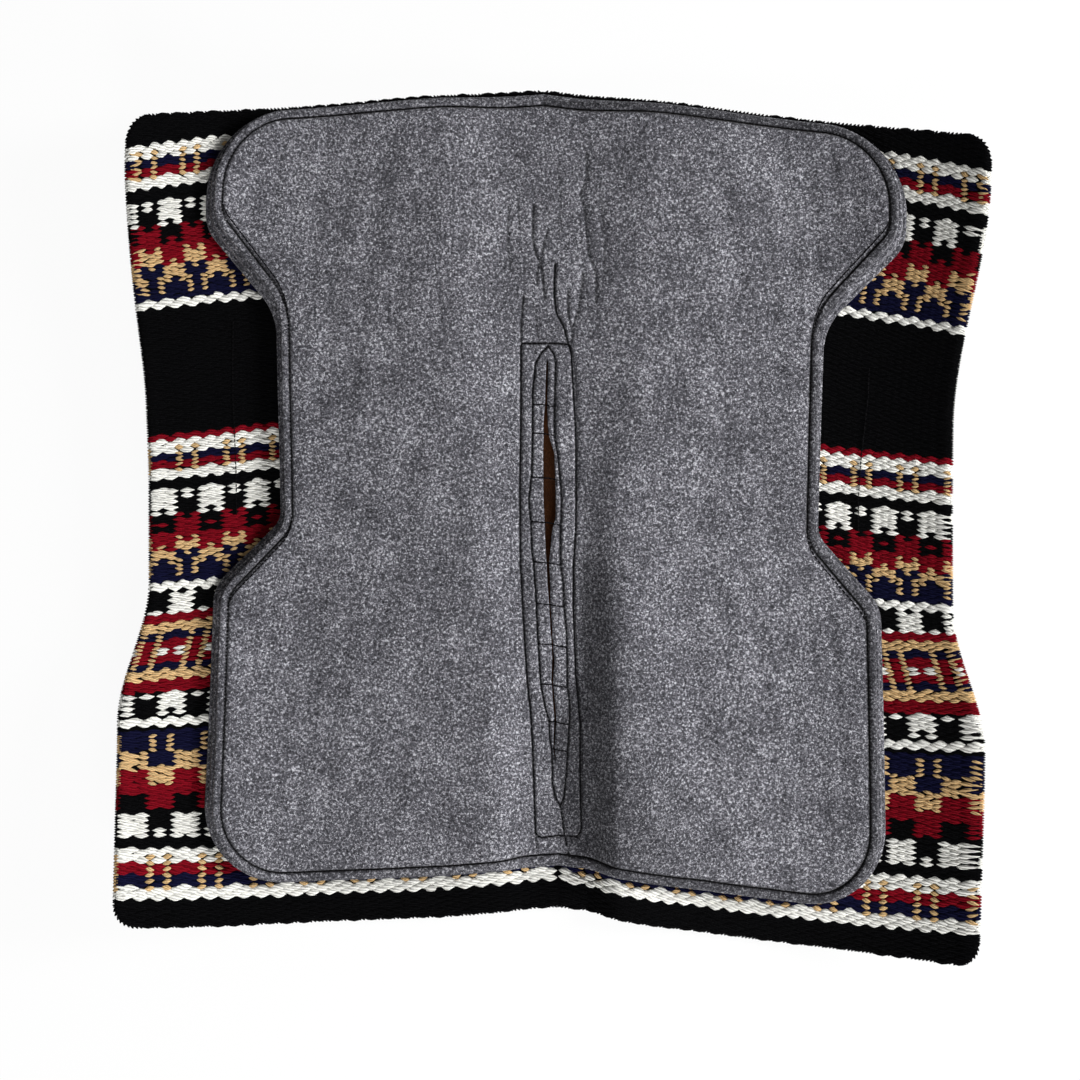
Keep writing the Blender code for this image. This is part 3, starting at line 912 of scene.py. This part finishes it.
# How far the border is rubbed matt and dark on each side, the right one further darkened by painted shade.
border_matting_and_shade = {-1: 0.34, 1: 1.0}
# How dark the painted shadow is that the raised right shoulder would cast on the front of the spine channel.
shoulder_painted_shadow = 0.92
# Where that painted shadow starts across the spine, as (v, x), and how far out it fades, as (v, width).
shoulder_shadow_start = ((-0.240, -0.004), (-0.195, 0.006), (-0.170, 0.020))
shoulder_shadow_fade = ((-0.330, 0.190), (-0.240, 0.120), (-0.100, 0.050))
arch_depth = 0.0016
arch_half_width = 0.0026
# The seams along the spine, sewn by eye, as (x, v) points of each side.
rectangle = {
    -1: [(0.0, 0.153), (-0.0267, 0.1545), (-0.0285, 0.070), (-0.0305, 0.018), (-0.0316, -0.064), (-0.0304, -0.094),
         (-0.0292, -0.129), (-0.0270, -0.178), (-0.0243, -0.209), (-0.0230, -0.245), (-0.0220, -0.328),
         (-0.0180, -0.333), (0.0, -0.332)],
    1: [(0.0, 0.153), (0.0222, 0.1545), (0.0255, 0.070), (0.0245, 0.0), (0.0235, -0.030), (0.0205, -0.066),
        (0.0197, -0.104), (0.0210, -0.175), (0.0242, -0.218), (0.0232, -0.262), (0.0232, -0.324),
        (0.0190, -0.331), (0.0, -0.332)],
}
arch = {
    -1: [(0.0, 0.150), (-0.0070, 0.143), (-0.0126, 0.134), (-0.0161, 0.107), (-0.0171, 0.063), (-0.0184, 0.030),
         (-0.0220, 0.0), (-0.0203, -0.024), (-0.0201, -0.048), (-0.0186, -0.062), (-0.0169, -0.095),
         (-0.0160, -0.130), (-0.0137, -0.183), (-0.0095, -0.205), (-0.0061, -0.219), (-0.0050, -0.236),
         (-0.0022, -0.247), (-0.0052, -0.279), (-0.0038, -0.295), (0.0, -0.303)],
    1: [(0.0, 0.150), (0.0055, 0.144), (0.0078, 0.137), (0.0072, 0.091), (0.0070, 0.063), (0.0084, 0.044),
        (0.0101, 0.018), (0.0110, 0.0), (0.0098, -0.024), (0.0096, -0.066), (0.0111, -0.080), (0.0113, -0.104),
        (0.0128, -0.130), (0.0127, -0.183), (0.0145, -0.204), (0.0135, -0.220), (0.0119, -0.247),
        (0.0101, -0.267), (0.0050, -0.294), (0.0, -0.303)],
}
front_seam = [(0.0005, -0.303), (0.0060, -0.331), (0.0110, -0.352)]
tack_places = (0.092, 0.0635, 0.020, -0.024, -0.0635, -0.1045, -0.144, -0.1835, -0.220, -0.247)
tack_reach = 0.014
tack_slant = 0.0016
tack_depth = 0.0012
slot_lip = 0.0016
slot_lip_width = 0.0024
# The felt swells beside the edge seam and between the seams along the spine, and is uneven over the whole face.
pillow_rise = 0.0008
spine_ridge = 0.0007
face_unevenness = 0.0005
least_felt = 0.0006
# The contact felt has its points in rings along its edge, close round the spine, less close where it wrinkles
# behind the slot, and further apart elsewhere. Rows of points follow every seam and crease.
contact_edge_spacing = 0.0035
contact_fine_spacing = 0.0018
contact_wrinkled_spacing = 0.0030
contact_coarse_spacing = 0.0050
contact_ring_depths = [0.0004, 0.0009, 0.0016, 0.0030, 0.0045]
contact_ring_depths += [stitch_inset + step for step in (-0.0026, -0.0015, -0.0007, 0.0, 0.0007, 0.0015, 0.0026,
                                                         0.0045, 0.0075)]
line_spacing = 0.0022
line_clearance = 0.0032
line_row_offsets = (-0.0026, -0.0016, -0.0007, 0.0007, 0.0016, 0.0026)
spine_clearance = 0.0009
# Creases where the liner gathers behind the seams and round the spine, with how deep, how wide and how dark their
# painted shade is.
creases = (
    ([(0.0084, 0.231), (0.0069, 0.202), (0.0089, 0.183), (0.0154, 0.172), (0.0190, 0.158), (0.0222, 0.147)],
     0.0026, 0.0030, 1.0),
    ([(-0.0116, 0.288), (-0.0133, 0.255), (-0.0096, 0.238), (-0.0060, 0.2335), (-0.0040, 0.217), (-0.0027, 0.198)],
     0.0015, 0.0032, 0.7),
    ([(0.0025, 0.266), (-0.0034, 0.247), (-0.0060, 0.2335), (-0.0098, 0.222), (-0.0095, 0.212)], 0.0011, 0.0030, 0.6),
    ([(-0.0361, 0.290), (-0.0383, 0.257), (-0.0360, 0.228)], 0.0009, 0.0050, 0.45),
    ([(-0.0270, 0.294), (-0.0262, 0.268)], 0.0008, 0.0040, 0.4),
    ([(0.0407, 0.346), (0.0410, 0.322), (0.0340, 0.302), (0.0383, 0.289), (0.0399, 0.259), (0.0418, 0.242),
      (0.0466, 0.232), (0.0480, 0.222), (0.0470, 0.198)], 0.0012, 0.0044, 0.5),
    ([(0.0206, 0.208), (0.0202, 0.184), (0.0228, 0.172)], 0.0013, 0.0034, 0.6),
    ([(0.0355, 0.226), (0.0307, 0.190), (0.0245, 0.172), (0.0228, 0.158)], 0.0012, 0.0044, 0.5),
    ([(-0.0235, 0.200), (-0.0262, 0.175), (-0.0267, 0.156)], 0.0013, 0.0026, 0.8),
    ([(-0.0220, -0.332), (-0.0180, -0.354)], 0.0012, 0.0030, 0.7),
    ([(0.0225, 0.158), (0.0262, 0.120), (0.0268, 0.060), (0.0258, 0.020)], 0.0018, 0.0042, 0.5),
    ([(0.0215, -0.060), (0.0215, -0.120), (0.0228, -0.180), (0.0255, -0.222), (0.0248, -0.300)], 0.0012, 0.0040, 0.5),
    ([(-0.0118, 0.186), (-0.0100, 0.160)], 0.0007, 0.0034, 0.4),
    ([(0.0540, 0.300), (0.0565, 0.262), (0.0555, 0.226)], 0.0006, 0.0060, 0.3),
    ([(0.0130, 0.325), (0.0150, 0.290), (0.0120, 0.262)], 0.0006, 0.0050, 0.3),
)
# Every line that sinks the felt: its path, depth, half width, how dark its painted shade is (on seams also the dark
# thread), and the half width of that shade.
lines = [(front_seam, arch_depth, arch_half_width, 0.8, seam_shade_half_width)]
for side in (-1, 1):
    lines.append((rectangle[side], seam_depth, seam_half_width, 1.0, seam_shade_half_width))
    lines.append((arch[side], arch_depth, arch_half_width, 0.95, seam_shade_half_width))
for path, depth, half_width, shade in creases:
    lines.append((path, depth, half_width, shade, 0.0012 + 0.15 * half_width))
lines = [(resampled(np.array(path), 0.004), *sizes) for path, *sizes in lines]


def make_felt_finish(name, light):
    """Heather grey felt: dark and light fibres felted together, matted and darker where stitches press it, with
    painted shade on the right border, a painted shadow beside the right shoulder and painted shade in the grooves of
    seams and creases.
    """
    material, shader, start = new_finish(name, 0.96, 0.04, 0.06)
    place = start.node("ShaderNodeTexCoord", out="Object")
    pressed_and_painted_shade = start.node("ShaderNodeAttribute", {"attribute_name": "pressed_and_painted_shade"}, out="Fac")
    fleck = place.noise(430, 2, 0.8, 0.5)
    fine = place.noise(1100, 2, 0.7)
    cloud = place.noise(24, 3, 0.5)
    streak = place.noise(240, 3, 0.6, 3.0)
    tone = fleck * 0.62 + fine * 0.26 + streak * 0.12 + (cloud - 0.5) * 0.10
    stops = [(0.34, paint(13 * light, 13 * light, 16 * light)), (0.64, paint(210 * light, 210 * light, 217 * light)),
             (0.46, paint(68 * light, 68 * light, 73 * light)), (0.53, paint(101 * light, 100 * light, 107 * light))]
    grey = start.node("ShaderNodeValToRGB", {"stops": stops}, {"Fac": tone})
    # Darkened where the felt is matted along the border and seams, and by painted shade on the right border and a
    # painted shadow beside the right shoulder.
    grey = grey.mixed(grey.shaded(0.38 + streak * 0.24), pressed_and_painted_shade)
    # Near black along seams and creases: painted shade in their grooves, on seams also the dark thread.
    thread_and_groove_shade = start.node("ShaderNodeAttribute", {"attribute_name": "thread_and_groove_shade"}, out="Fac")
    grey = grey.mixed(grey.shaded(0.03), (thread_and_groove_shade * 1.5).limited())
    grey.into(shader.inputs["Base Color"])
    give_bump(shader, start, fleck * 0.7 + fine * 0.35, 0.0009)
    return material


def line_marks(x, v):
    """How deep the seams and creases sink the felt at flat points, and how dark their painted groove shade is, which
    on seams also stands for the dark thread.
    """
    points = np.stack([x, v], axis=1)
    sunk, dark = np.zeros(len(x)), np.zeros(len(x))
    for path, depth, half_width, shade, shade_half_width in lines:
        near = (points > path.min(axis=0) - 0.01).all(axis=1) & (points < path.max(axis=0) + 0.01).all(axis=1)
        distance = np.full(len(x), 1.0)
        distance[near] = distance_from(points[near], path)
        sunk = np.maximum(sunk, depth * valley(distance, half_width))
        # dark is painted shade in the groove, on seams also the dark thread.
        dark = np.maximum(dark, shade * valley(distance, shade_half_width))
    return sunk, dark


def rounding(depth, width):
    """1 on a rounded edge, falling along a quarter circle to 0 at width in from it."""
    return 1 - np.sqrt(np.maximum(0, 1 - np.maximum(0, 1 - depth / width) ** 2))


def felt_rise(x, v, depth):
    """How far the contact felt stands above or below its even thickness, depth in from its cut edge."""
    rise = -contact_edge_drop * rounding(depth, contact_edge_width)
    rise = rise - border_drop * (1 - ease(depth / border_drop_width))
    rise = rise - edge_seam_depth * valley(depth - stitch_inset, edge_seam_half_width)
    rise = rise + pillow_rise * ease((depth - stitch_inset) / 0.012) * (1 - ease((depth - 0.024) / 0.040))
    along_spine = ease((v - strip_front) / 0.01) * ease((strip_rear - v) / 0.01)
    rise = rise + spine_ridge * valley(np.abs(x) - 0.0220, 0.0060) * along_spine
    for place in tack_places:
        tacked = valley(v - place + tack_slant * x / tack_reach, 0.0040) * (1 - ease((np.abs(x) - 0.006) / 0.008))
        rise = rise - tack_depth * tacked
    slot_depth = np.abs(x) - slot_half_width(v)
    in_slot = ease((v - slot_front_end) / 0.004) * ease((slot_rear_end - v) / 0.004)
    rise = rise - slot_lip * rounding(slot_depth, slot_lip_width) * in_slot - line_marks(x, v)[0]
    # Pressed wool is never quite even: two slow waves cross each other over the face.
    unevenness = face_unevenness * (
        np.sin(31 * x + 17 * v) * np.sin(23 * v - 11 * x) + np.sin(57 * x * x * 9 + 29 * v))
    rise = rise + unevenness * ease((depth - 0.014) / 0.03)
    return np.maximum(rise, least_felt - contact_thickness * press(x, v))


def felt_surface(x, v):
    """The places on top of the contact felt."""
    x, v = np.asarray(x, float), np.asarray(v, float)
    points = np.stack([np.abs(x), v], axis=1)
    depth = np.where(x < 0, distance_from(points, felt_edge(contact_inset, -1)),
                     distance_from(points, felt_edge(contact_inset, 1)))
    return lay(x, v, contact_hard + felt_rise(x, v, depth), contact_soft + contact_thickness)


def felt_outline(inset, side, spacing, slot_spacing):
    """The closed outline of one half of a felt layer."""
    edge = resampled(felt_edge(inset, side), spacing)
    centre = spine_side(felt_front_end + inset, felt_rear_end - inset, 0.0, slot_spacing)
    return edge, np.concatenate([edge, centre])


felt_plain = make_felt_finish("wool_felt_edge", 0.92)
felt_face = make_felt_finish("wool_felt_face", 1.0)
for side in (-1, 1):
    name = side_names[side]
    for title, hard, soft, thickness, inset in felt_layers:
        edge, outline = felt_outline(inset, side, layer_edge_spacing, layer_edge_spacing)
        rings = [resampled(felt_edge(inset + depth, side), layer_edge_spacing)[1:-1] for depth in layer_ring_depths]
        points = field((0.004, felt_front_end), (0.350, felt_rear_end), layer_field_spacing)
        points = points[inside(points, outline)]
        points = points[distance_from(points, edge) > field_clearance]
        flat, faces = fill_outline(outline, np.concatenate([*rings, points]), side)
        depth = distance_from(flat * [side, 1], edge)
        sunk = layer_edge_round * rounding(depth, layer_edge_round)
        top = lay(flat[:, 0], flat[:, 1], hard - sunk * 0.8, soft + thickness)
        bottom = lay(flat[:, 0], flat[:, 1], hard, soft)
        layer = close_sheet(f"{title}_{name}_sheet", top, bottom, faces, felt_plain)
        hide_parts(f"{title}_{name}", *([f"{title}_spine"] if side > 0 else []))
        hang(layer)
    edge, outline = felt_outline(contact_inset, side, contact_edge_spacing, contact_fine_spacing)
    rings = [resampled(felt_edge(contact_inset + depth, side), contact_edge_spacing)[1:-1]
             for depth in contact_ring_depths]
    fine = field((0.001, strip_front - 0.008), (fold + 0.010, strip_rear + 0.008), contact_fine_spacing)
    wrinkled = field((0.001, strip_rear + 0.008), (0.060, 0.345), contact_wrinkled_spacing)
    coarse = field((0.001, felt_front_end), (0.350, felt_rear_end), contact_coarse_spacing)
    in_fine = (coarse[:, 0] < fold + 0.012) & (coarse[:, 1] > strip_front - 0.010)
    in_fine &= coarse[:, 1] < strip_rear + 0.010
    in_wrinkled = (coarse[:, 0] < 0.062) & (coarse[:, 1] > strip_rear) & (coarse[:, 1] < 0.347)
    coarse = coarse[~in_fine & ~in_wrinkled]
    points = np.concatenate([fine, wrinkled, coarse])
    rows = []
    for path, *_ in lines:
        middle = resampled(path, line_spacing) * [side, 1]
        normal = np.gradient(middle, axis=0) @ np.array([[0.0, 1.0], [-1.0, 0.0]])
        points = points[distance_from(points, middle) > line_clearance]
        rows += [middle + unit(normal) * offset for offset in line_row_offsets]
    points = np.concatenate([points, *rows])
    points = points[points[:, 0] > spine_clearance]
    points = points[inside(points, outline)]
    points = points[distance_from(points, edge) > stitch_inset + 0.0090]
    in_slot = (points[:, 1] > slot_front_end) & (points[:, 1] < slot_rear_end)
    points = points[(points[:, 0] > slot_half_width(points[:, 1]) + spine_clearance) | ~in_slot]
    flat, faces = fill_outline(outline, np.concatenate([*rings, points]), side)
    top = felt_surface(flat[:, 0], flat[:, 1])
    bottom = lay(flat[:, 0], flat[:, 1], contact_hard, contact_soft)
    layer = close_sheet(f"felt_contact_{name}_sheet", top, bottom, faces, felt_face)
    depth = distance_from(flat * [side, 1], edge)
    # Painted shade in the grooves of seams, creases and the edge seam, on seams also standing for the dark thread.
    thread_and_groove_shade = np.maximum(line_marks(flat[:, 0], flat[:, 1])[1], valley(depth - stitch_inset, seam_shade_half_width))
    # The face is darkened by an attribute: matted along the border and seams, with painted shade on the right border
    # and a painted shadow beside the right shoulder.
    pressed_and_painted_shade = border_matting_and_shade[side] * (1 - ease((depth - stitch_inset - 0.001) / 0.003))
    # The painted shadow beside the right shoulder, in front of the middle.
    shoulder_shadow_mask = ease((flat[:, 0] - np.interp(flat[:, 1], *zip(*shoulder_shadow_start))) / 0.010)
    shoulder_shadow_mask *= 1 - ease((flat[:, 0] - 0.030) / np.interp(flat[:, 1], *zip(*shoulder_shadow_fade)))
    shoulder_shadow_mask *= ease((-0.020 - flat[:, 1]) / 0.08) * ease((flat[:, 1] + 0.368) / 0.03)
    pressed_and_painted_shade = np.maximum(np.maximum(pressed_and_painted_shade, thread_and_groove_shade), shoulder_painted_shadow * shoulder_shadow_mask)
    thread_and_groove_shade = np.concatenate([thread_and_groove_shade, np.zeros(len(thread_and_groove_shade))])
    layer.data.attributes.new("thread_and_groove_shade", "FLOAT", "POINT").data.foreach_set("value", thread_and_groove_shade)
    values = np.concatenate([pressed_and_painted_shade, np.full(len(pressed_and_painted_shade), 0.5)])
    layer.data.attributes.new("pressed_and_painted_shade", "FLOAT", "POINT").data.foreach_set("value", values)
    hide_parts(f"felt_contact_{name}", *(["felt_contact_spine"] if side > 0 else []))
    hang(layer)

# The stitching
# Waxed dark thread goes through the felt and the weave: a row round the felt's edge, a rectangle along the spine
# with an arch of stitches within it, and cross tacks that pinch the slot together.
stitch_pitch = 0.0052
stitch_length = stitch_pitch * 0.9
tack_stitch_pitch = 0.0030
tack_stitch_length = 0.0042
thread_width = 0.0014
thread_wobble = math.radians(3)
# How far the middle of the thread stands above what it is sewn through.
thread_height = 0.0001
stitch_shape = make_shape("stitch", segments=6, rings=6, taper=5.0)


def make_thread_finish():
    """Dark waxed thread of three twisted strands."""
    material, shader, start = new_finish("waxed_thread", 0.85, 0.06)
    within = start.node("ShaderNodeAttribute", {"attribute_name": "within"}, out="Vector")
    twist = within.stretched(5.0, 2.0, 0.0).node("ShaderNodeTexWave", {"wave_type": "BANDS"}, {"Scale": 3.0})
    tone = start.node("ShaderNodeValToRGB", {"stops": [(0.0, paint(3, 3, 4)), (1.0, paint(14, 13, 15))]},
                      {"Fac": twist})
    tone.into(shader.inputs["Base Color"])
    give_bump(shader, start, twist, 0.0003)
    return material


waxed_thread = make_thread_finish()
for side in (-1, 1):
    middles, runs, lengths = [], [], []
    rows = [felt_edge(contact_inset + stitch_inset, side) * [side, 1]]
    rows += [np.array(rectangle[side]), np.array(arch[side])]
    rows += [np.array(front_seam)] if side > 0 else []
    for path in rows:
        middle, run = stitches_along(path, stitch_pitch)
        middles.append(middle)
        runs.append(run)
        lengths.append(np.full(len(middle), stitch_length))
    sewn_to = np.array(arch[side])[::-1]
    for place in tack_places:
        reach = np.interp(place, sewn_to[:, 1], sewn_to[:, 0])
        tack = np.array([(0.0, place), (reach, place - tack_slant * reach / tack_reach)])
        middle, run = stitches_along(tack, tack_stitch_pitch)
        middles.append(middle)
        runs.append(run)
        lengths.append(np.full(len(middle), tack_stitch_length))
    middles, runs = np.concatenate(middles), unit(np.concatenate(runs))
    lengths = np.concatenate(lengths)
    x, v = middles[:, 0], middles[:, 1]
    across, along, out = surface_axes(felt_surface, x, v)
    direction = across * runs[:, :1] + along * runs[:, 1:]
    sizes = np.stack([lengths, np.full(len(x), thread_width), np.full(len(x), thread_width)], axis=1)
    places = felt_surface(x, v) + out * thread_height
    thread = set_shapes(f"stitching_{side_names[side]}", stitch_shape, waxed_thread, places, direction, out,
                        sizes, seed=5, wobble=thread_wobble)
    hang(thread)

# The leathers
# A strip of brown leather runs under the spine, and one lies under each side, where the rider's leg and the
# rigging would wear the weave. Each is sewn to the weave by a row near its edge, which shows on the felt's side too.
leather_stitch_inset = 0.0045
wear_leather_corner_radius = 0.025
spine_leather_corner_radius = 0.010
# Where the wear leathers' outer rows show on the weave beside the felt, as (x, v) points of each side.
outer_row = {-1: [(0.3145, 0.198), (0.3145, 0.120), (0.3120, 0.044), (0.3115, 0.004)],
             1: [(0.3130, 0.168), (0.3125, 0.140), (0.3065, 0.080), (0.3040, 0.038), (0.3040, 0.004)]}
leather_stitch_pitch = 0.0045
leather_stitch_length = leather_stitch_pitch * 0.86
leather_thread_width = 0.0011
# The heights at which the thread lies on the leather, over the base, and on the floats, over the cloth's middle.
leather_thread_height = 0.0002
weave_thread_height = 0.0046


def make_leather_finish():
    """Brown leather with a pebbled grain, darker in its hollows and worn a little in clouds."""
    material, shader, start = new_finish("brown_leather", 0.62, 0.15)
    place = start.node("ShaderNodeTexCoord", out="Object")
    crooked = place.node("ShaderNodeVectorMath", {"operation": "ADD"},
                         {0: place, 1: place.node("ShaderNodeTexNoise", (), {"Vector": place, "Scale": 160.0},
                                                  out=1).stretched(0.004, 0.004, 0.004)})
    grain = crooked.node("ShaderNodeTexVoronoi", {"feature": "DISTANCE_TO_EDGE"}, {"Vector": crooked, "Scale": 430.0})
    hill = (grain * 5).limited()
    cloud = place.noise(16, 4, 0.6)
    tone = start.node("ShaderNodeValToRGB", {"stops": [(0.3, paint(66, 36, 17)), (0.7, paint(100, 57, 27))]},
                      {"Fac": cloud})
    tone.shaded(0.72 + hill * 0.28).into(shader.inputs["Base Color"])
    give_bump(shader, start, hill + cloud * 0.4, 0.0004)
    return material


def sewn_row(name, path, place, out_sign):
    """A row of stitches along a flat path, on the side of the surface place(x, v) that out_sign gives."""
    middles, runs = stitches_along(path, leather_stitch_pitch)
    x, v = middles[:, 0], middles[:, 1]
    across, along, out = surface_axes(place, x, v)
    thick = np.full(len(x), leather_thread_width)
    sizes = np.stack([np.full(len(x), leather_stitch_length), thick, thick], axis=1)
    return set_shapes(name, stitch_shape, waxed_thread, place(x, v) + out * out_sign * thread_height,
                      across * runs[:, :1] + along * runs[:, 1:], out * out_sign, sizes, seed=8,
                      wobble=thread_wobble)


def leather_underside(x, v):
    """The places on the face of the leathers that meets the saddle."""
    return lay(x, v, leather_thread_height)


def weave_top(x, v):
    """The places on top of the floats, on the felt's side."""
    return lay(x, v, blanket_base + blanket_thickness / 2 + weave_thread_height)


brown_leather = make_leather_finish()
for title in ("spine_leather", "wear_leather_left", "wear_leather_right"):
    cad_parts[title].data.materials.clear()
    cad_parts[title].data.materials.append(brown_leather)
radius = spine_leather_corner_radius - leather_stitch_inset
low, high = leather_stitch_inset - fold, fold - leather_stitch_inset
front, rear = leather_stitch_inset - pad_length / 2, pad_length / 2 - leather_stitch_inset
row = rounded([(low, 0.0, 0), (low, front, radius), (high, front, radius), (high, rear, radius), (low, rear, radius),
               (low, 0.0, 0)])
thread = sewn_row("spine_leather_stitching", row, leather_underside, -1)
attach(thread, "spine")
for side in (-1, 1):
    name = side_names[side]
    radius = wear_leather_corner_radius - leather_stitch_inset
    low, high = wear_leather_inner + leather_stitch_inset, wear_leather_outer - leather_stitch_inset
    front, rear = wear_leather_front + leather_stitch_inset, wear_leather_rear - leather_stitch_inset
    row = rounded([(low, 0.0, 0), (low, front, radius), (high, front, radius), (high, rear, radius),
                   (low, rear, radius), (low, 0.0, 0)])
    rows = (("saddle_side", row, leather_underside, -1), ("felt_side", outer_row[side], weave_top, 1))
    for title, path, place, out_sign in rows:
        thread = sewn_row(f"wear_leather_{name}_stitching_{title}", np.array(path) * [side, 1], place, out_sign)
        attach(thread, f"{name}_side")
bpy.data.objects.remove(stitch_shape)

# The studio
# The pad lies on a white floor that keeps its faint shadow, under soft light from the right, and is seen from
# straight above.
camera_lens = 41.13
camera_height = 1.235
camera_place = (-0.0118, -0.0408)
camera_turn = math.radians(-1.13)
sensor_width = 36.0
floor_reach = 9
floor_grey = 0.9
floor_glow_share = 0.94
room_light_strength = 0.17
soft_box_size = 0.9


def background_share(wire):
    """1 where the camera looks at the background, straight or in a reflection."""
    sort = wire.tree.nodes.new("ShaderNodeLightPath")
    rays = [Wire(wire.tree, sort.outputs[f"Is {kind} Ray"]) for kind in ("Camera", "Glossy", "Transmission")]
    return (rays[0] + rays[1] + rays[2]).limited()


floor_material = bpy.data.materials.new("white_floor")
floor_material.use_nodes = True
floor_tree = floor_material.node_tree
floor_tree.nodes.clear()
start = Wire(floor_tree)
paper = start.node("ShaderNodeBsdfDiffuse", (), {"Color": (floor_grey, floor_grey, floor_grey, 1)})
glow = start.node("ShaderNodeEmission", (), {"Color": (1, 1, 1, 1), "Strength": 1.0})
mixed = start.node("ShaderNodeMixShader", (), {0: background_share(start) * floor_glow_share, 1: paper, 2: glow})
output = floor_tree.nodes.new("ShaderNodeOutputMaterial")
mixed.into(output.inputs["Surface"])
floor_corners = [(x * floor_reach, y * floor_reach, 0) for x, y in ((-1, -1), (1, -1), (1, 1), (-1, 1))]
floor = make_mesh("floor", floor_corners, [(0, 1, 2, 3)], floor_material)

world = bpy.data.worlds.new("studio")
bpy.context.scene.world = world
world.use_nodes = True
world.node_tree.nodes.clear()
start = Wire(world.node_tree)
room_light = start.node("ShaderNodeBackground", (), {"Color": (1, 1, 1, 1), "Strength": room_light_strength})
white = start.node("ShaderNodeBackground", (), {"Color": (1, 1, 1, 1), "Strength": 1.0})
mixed = start.node("ShaderNodeMixShader", (), {0: background_share(start), 1: room_light, 2: white})
mixed.into(world.node_tree.nodes.new("ShaderNodeOutputWorld").inputs["Surface"])

for name, energy, place, turn in (
    ("right_soft_box", 74.0, (2.05, 0.30, 1.10), (0, 62, 8)),
    ("front_soft_box", 37.0, (0.20, -2.00, 1.30), (57, 0, 6)),
):
    lamp = bpy.data.lights.new(name, "AREA")
    lamp.shape = "DISK"
    lamp.size = soft_box_size
    lamp.energy = energy
    soft_box = bpy.data.objects.new(name, lamp)
    soft_box.location = place
    soft_box.rotation_euler = [math.radians(angle) for angle in turn]
    bpy.context.scene.collection.objects.link(soft_box)

camera = bpy.data.objects.new("camera", bpy.data.cameras.new("camera"))
camera.data.lens = camera_lens
camera.data.sensor_width = sensor_width
camera.location = (*camera_place, camera_height)
camera.rotation_euler = (0, 0, camera_turn)
bpy.context.scene.collection.objects.link(camera)
bpy.context.scene.camera = camera
bpy.context.scene.view_settings.view_transform = "Standard"
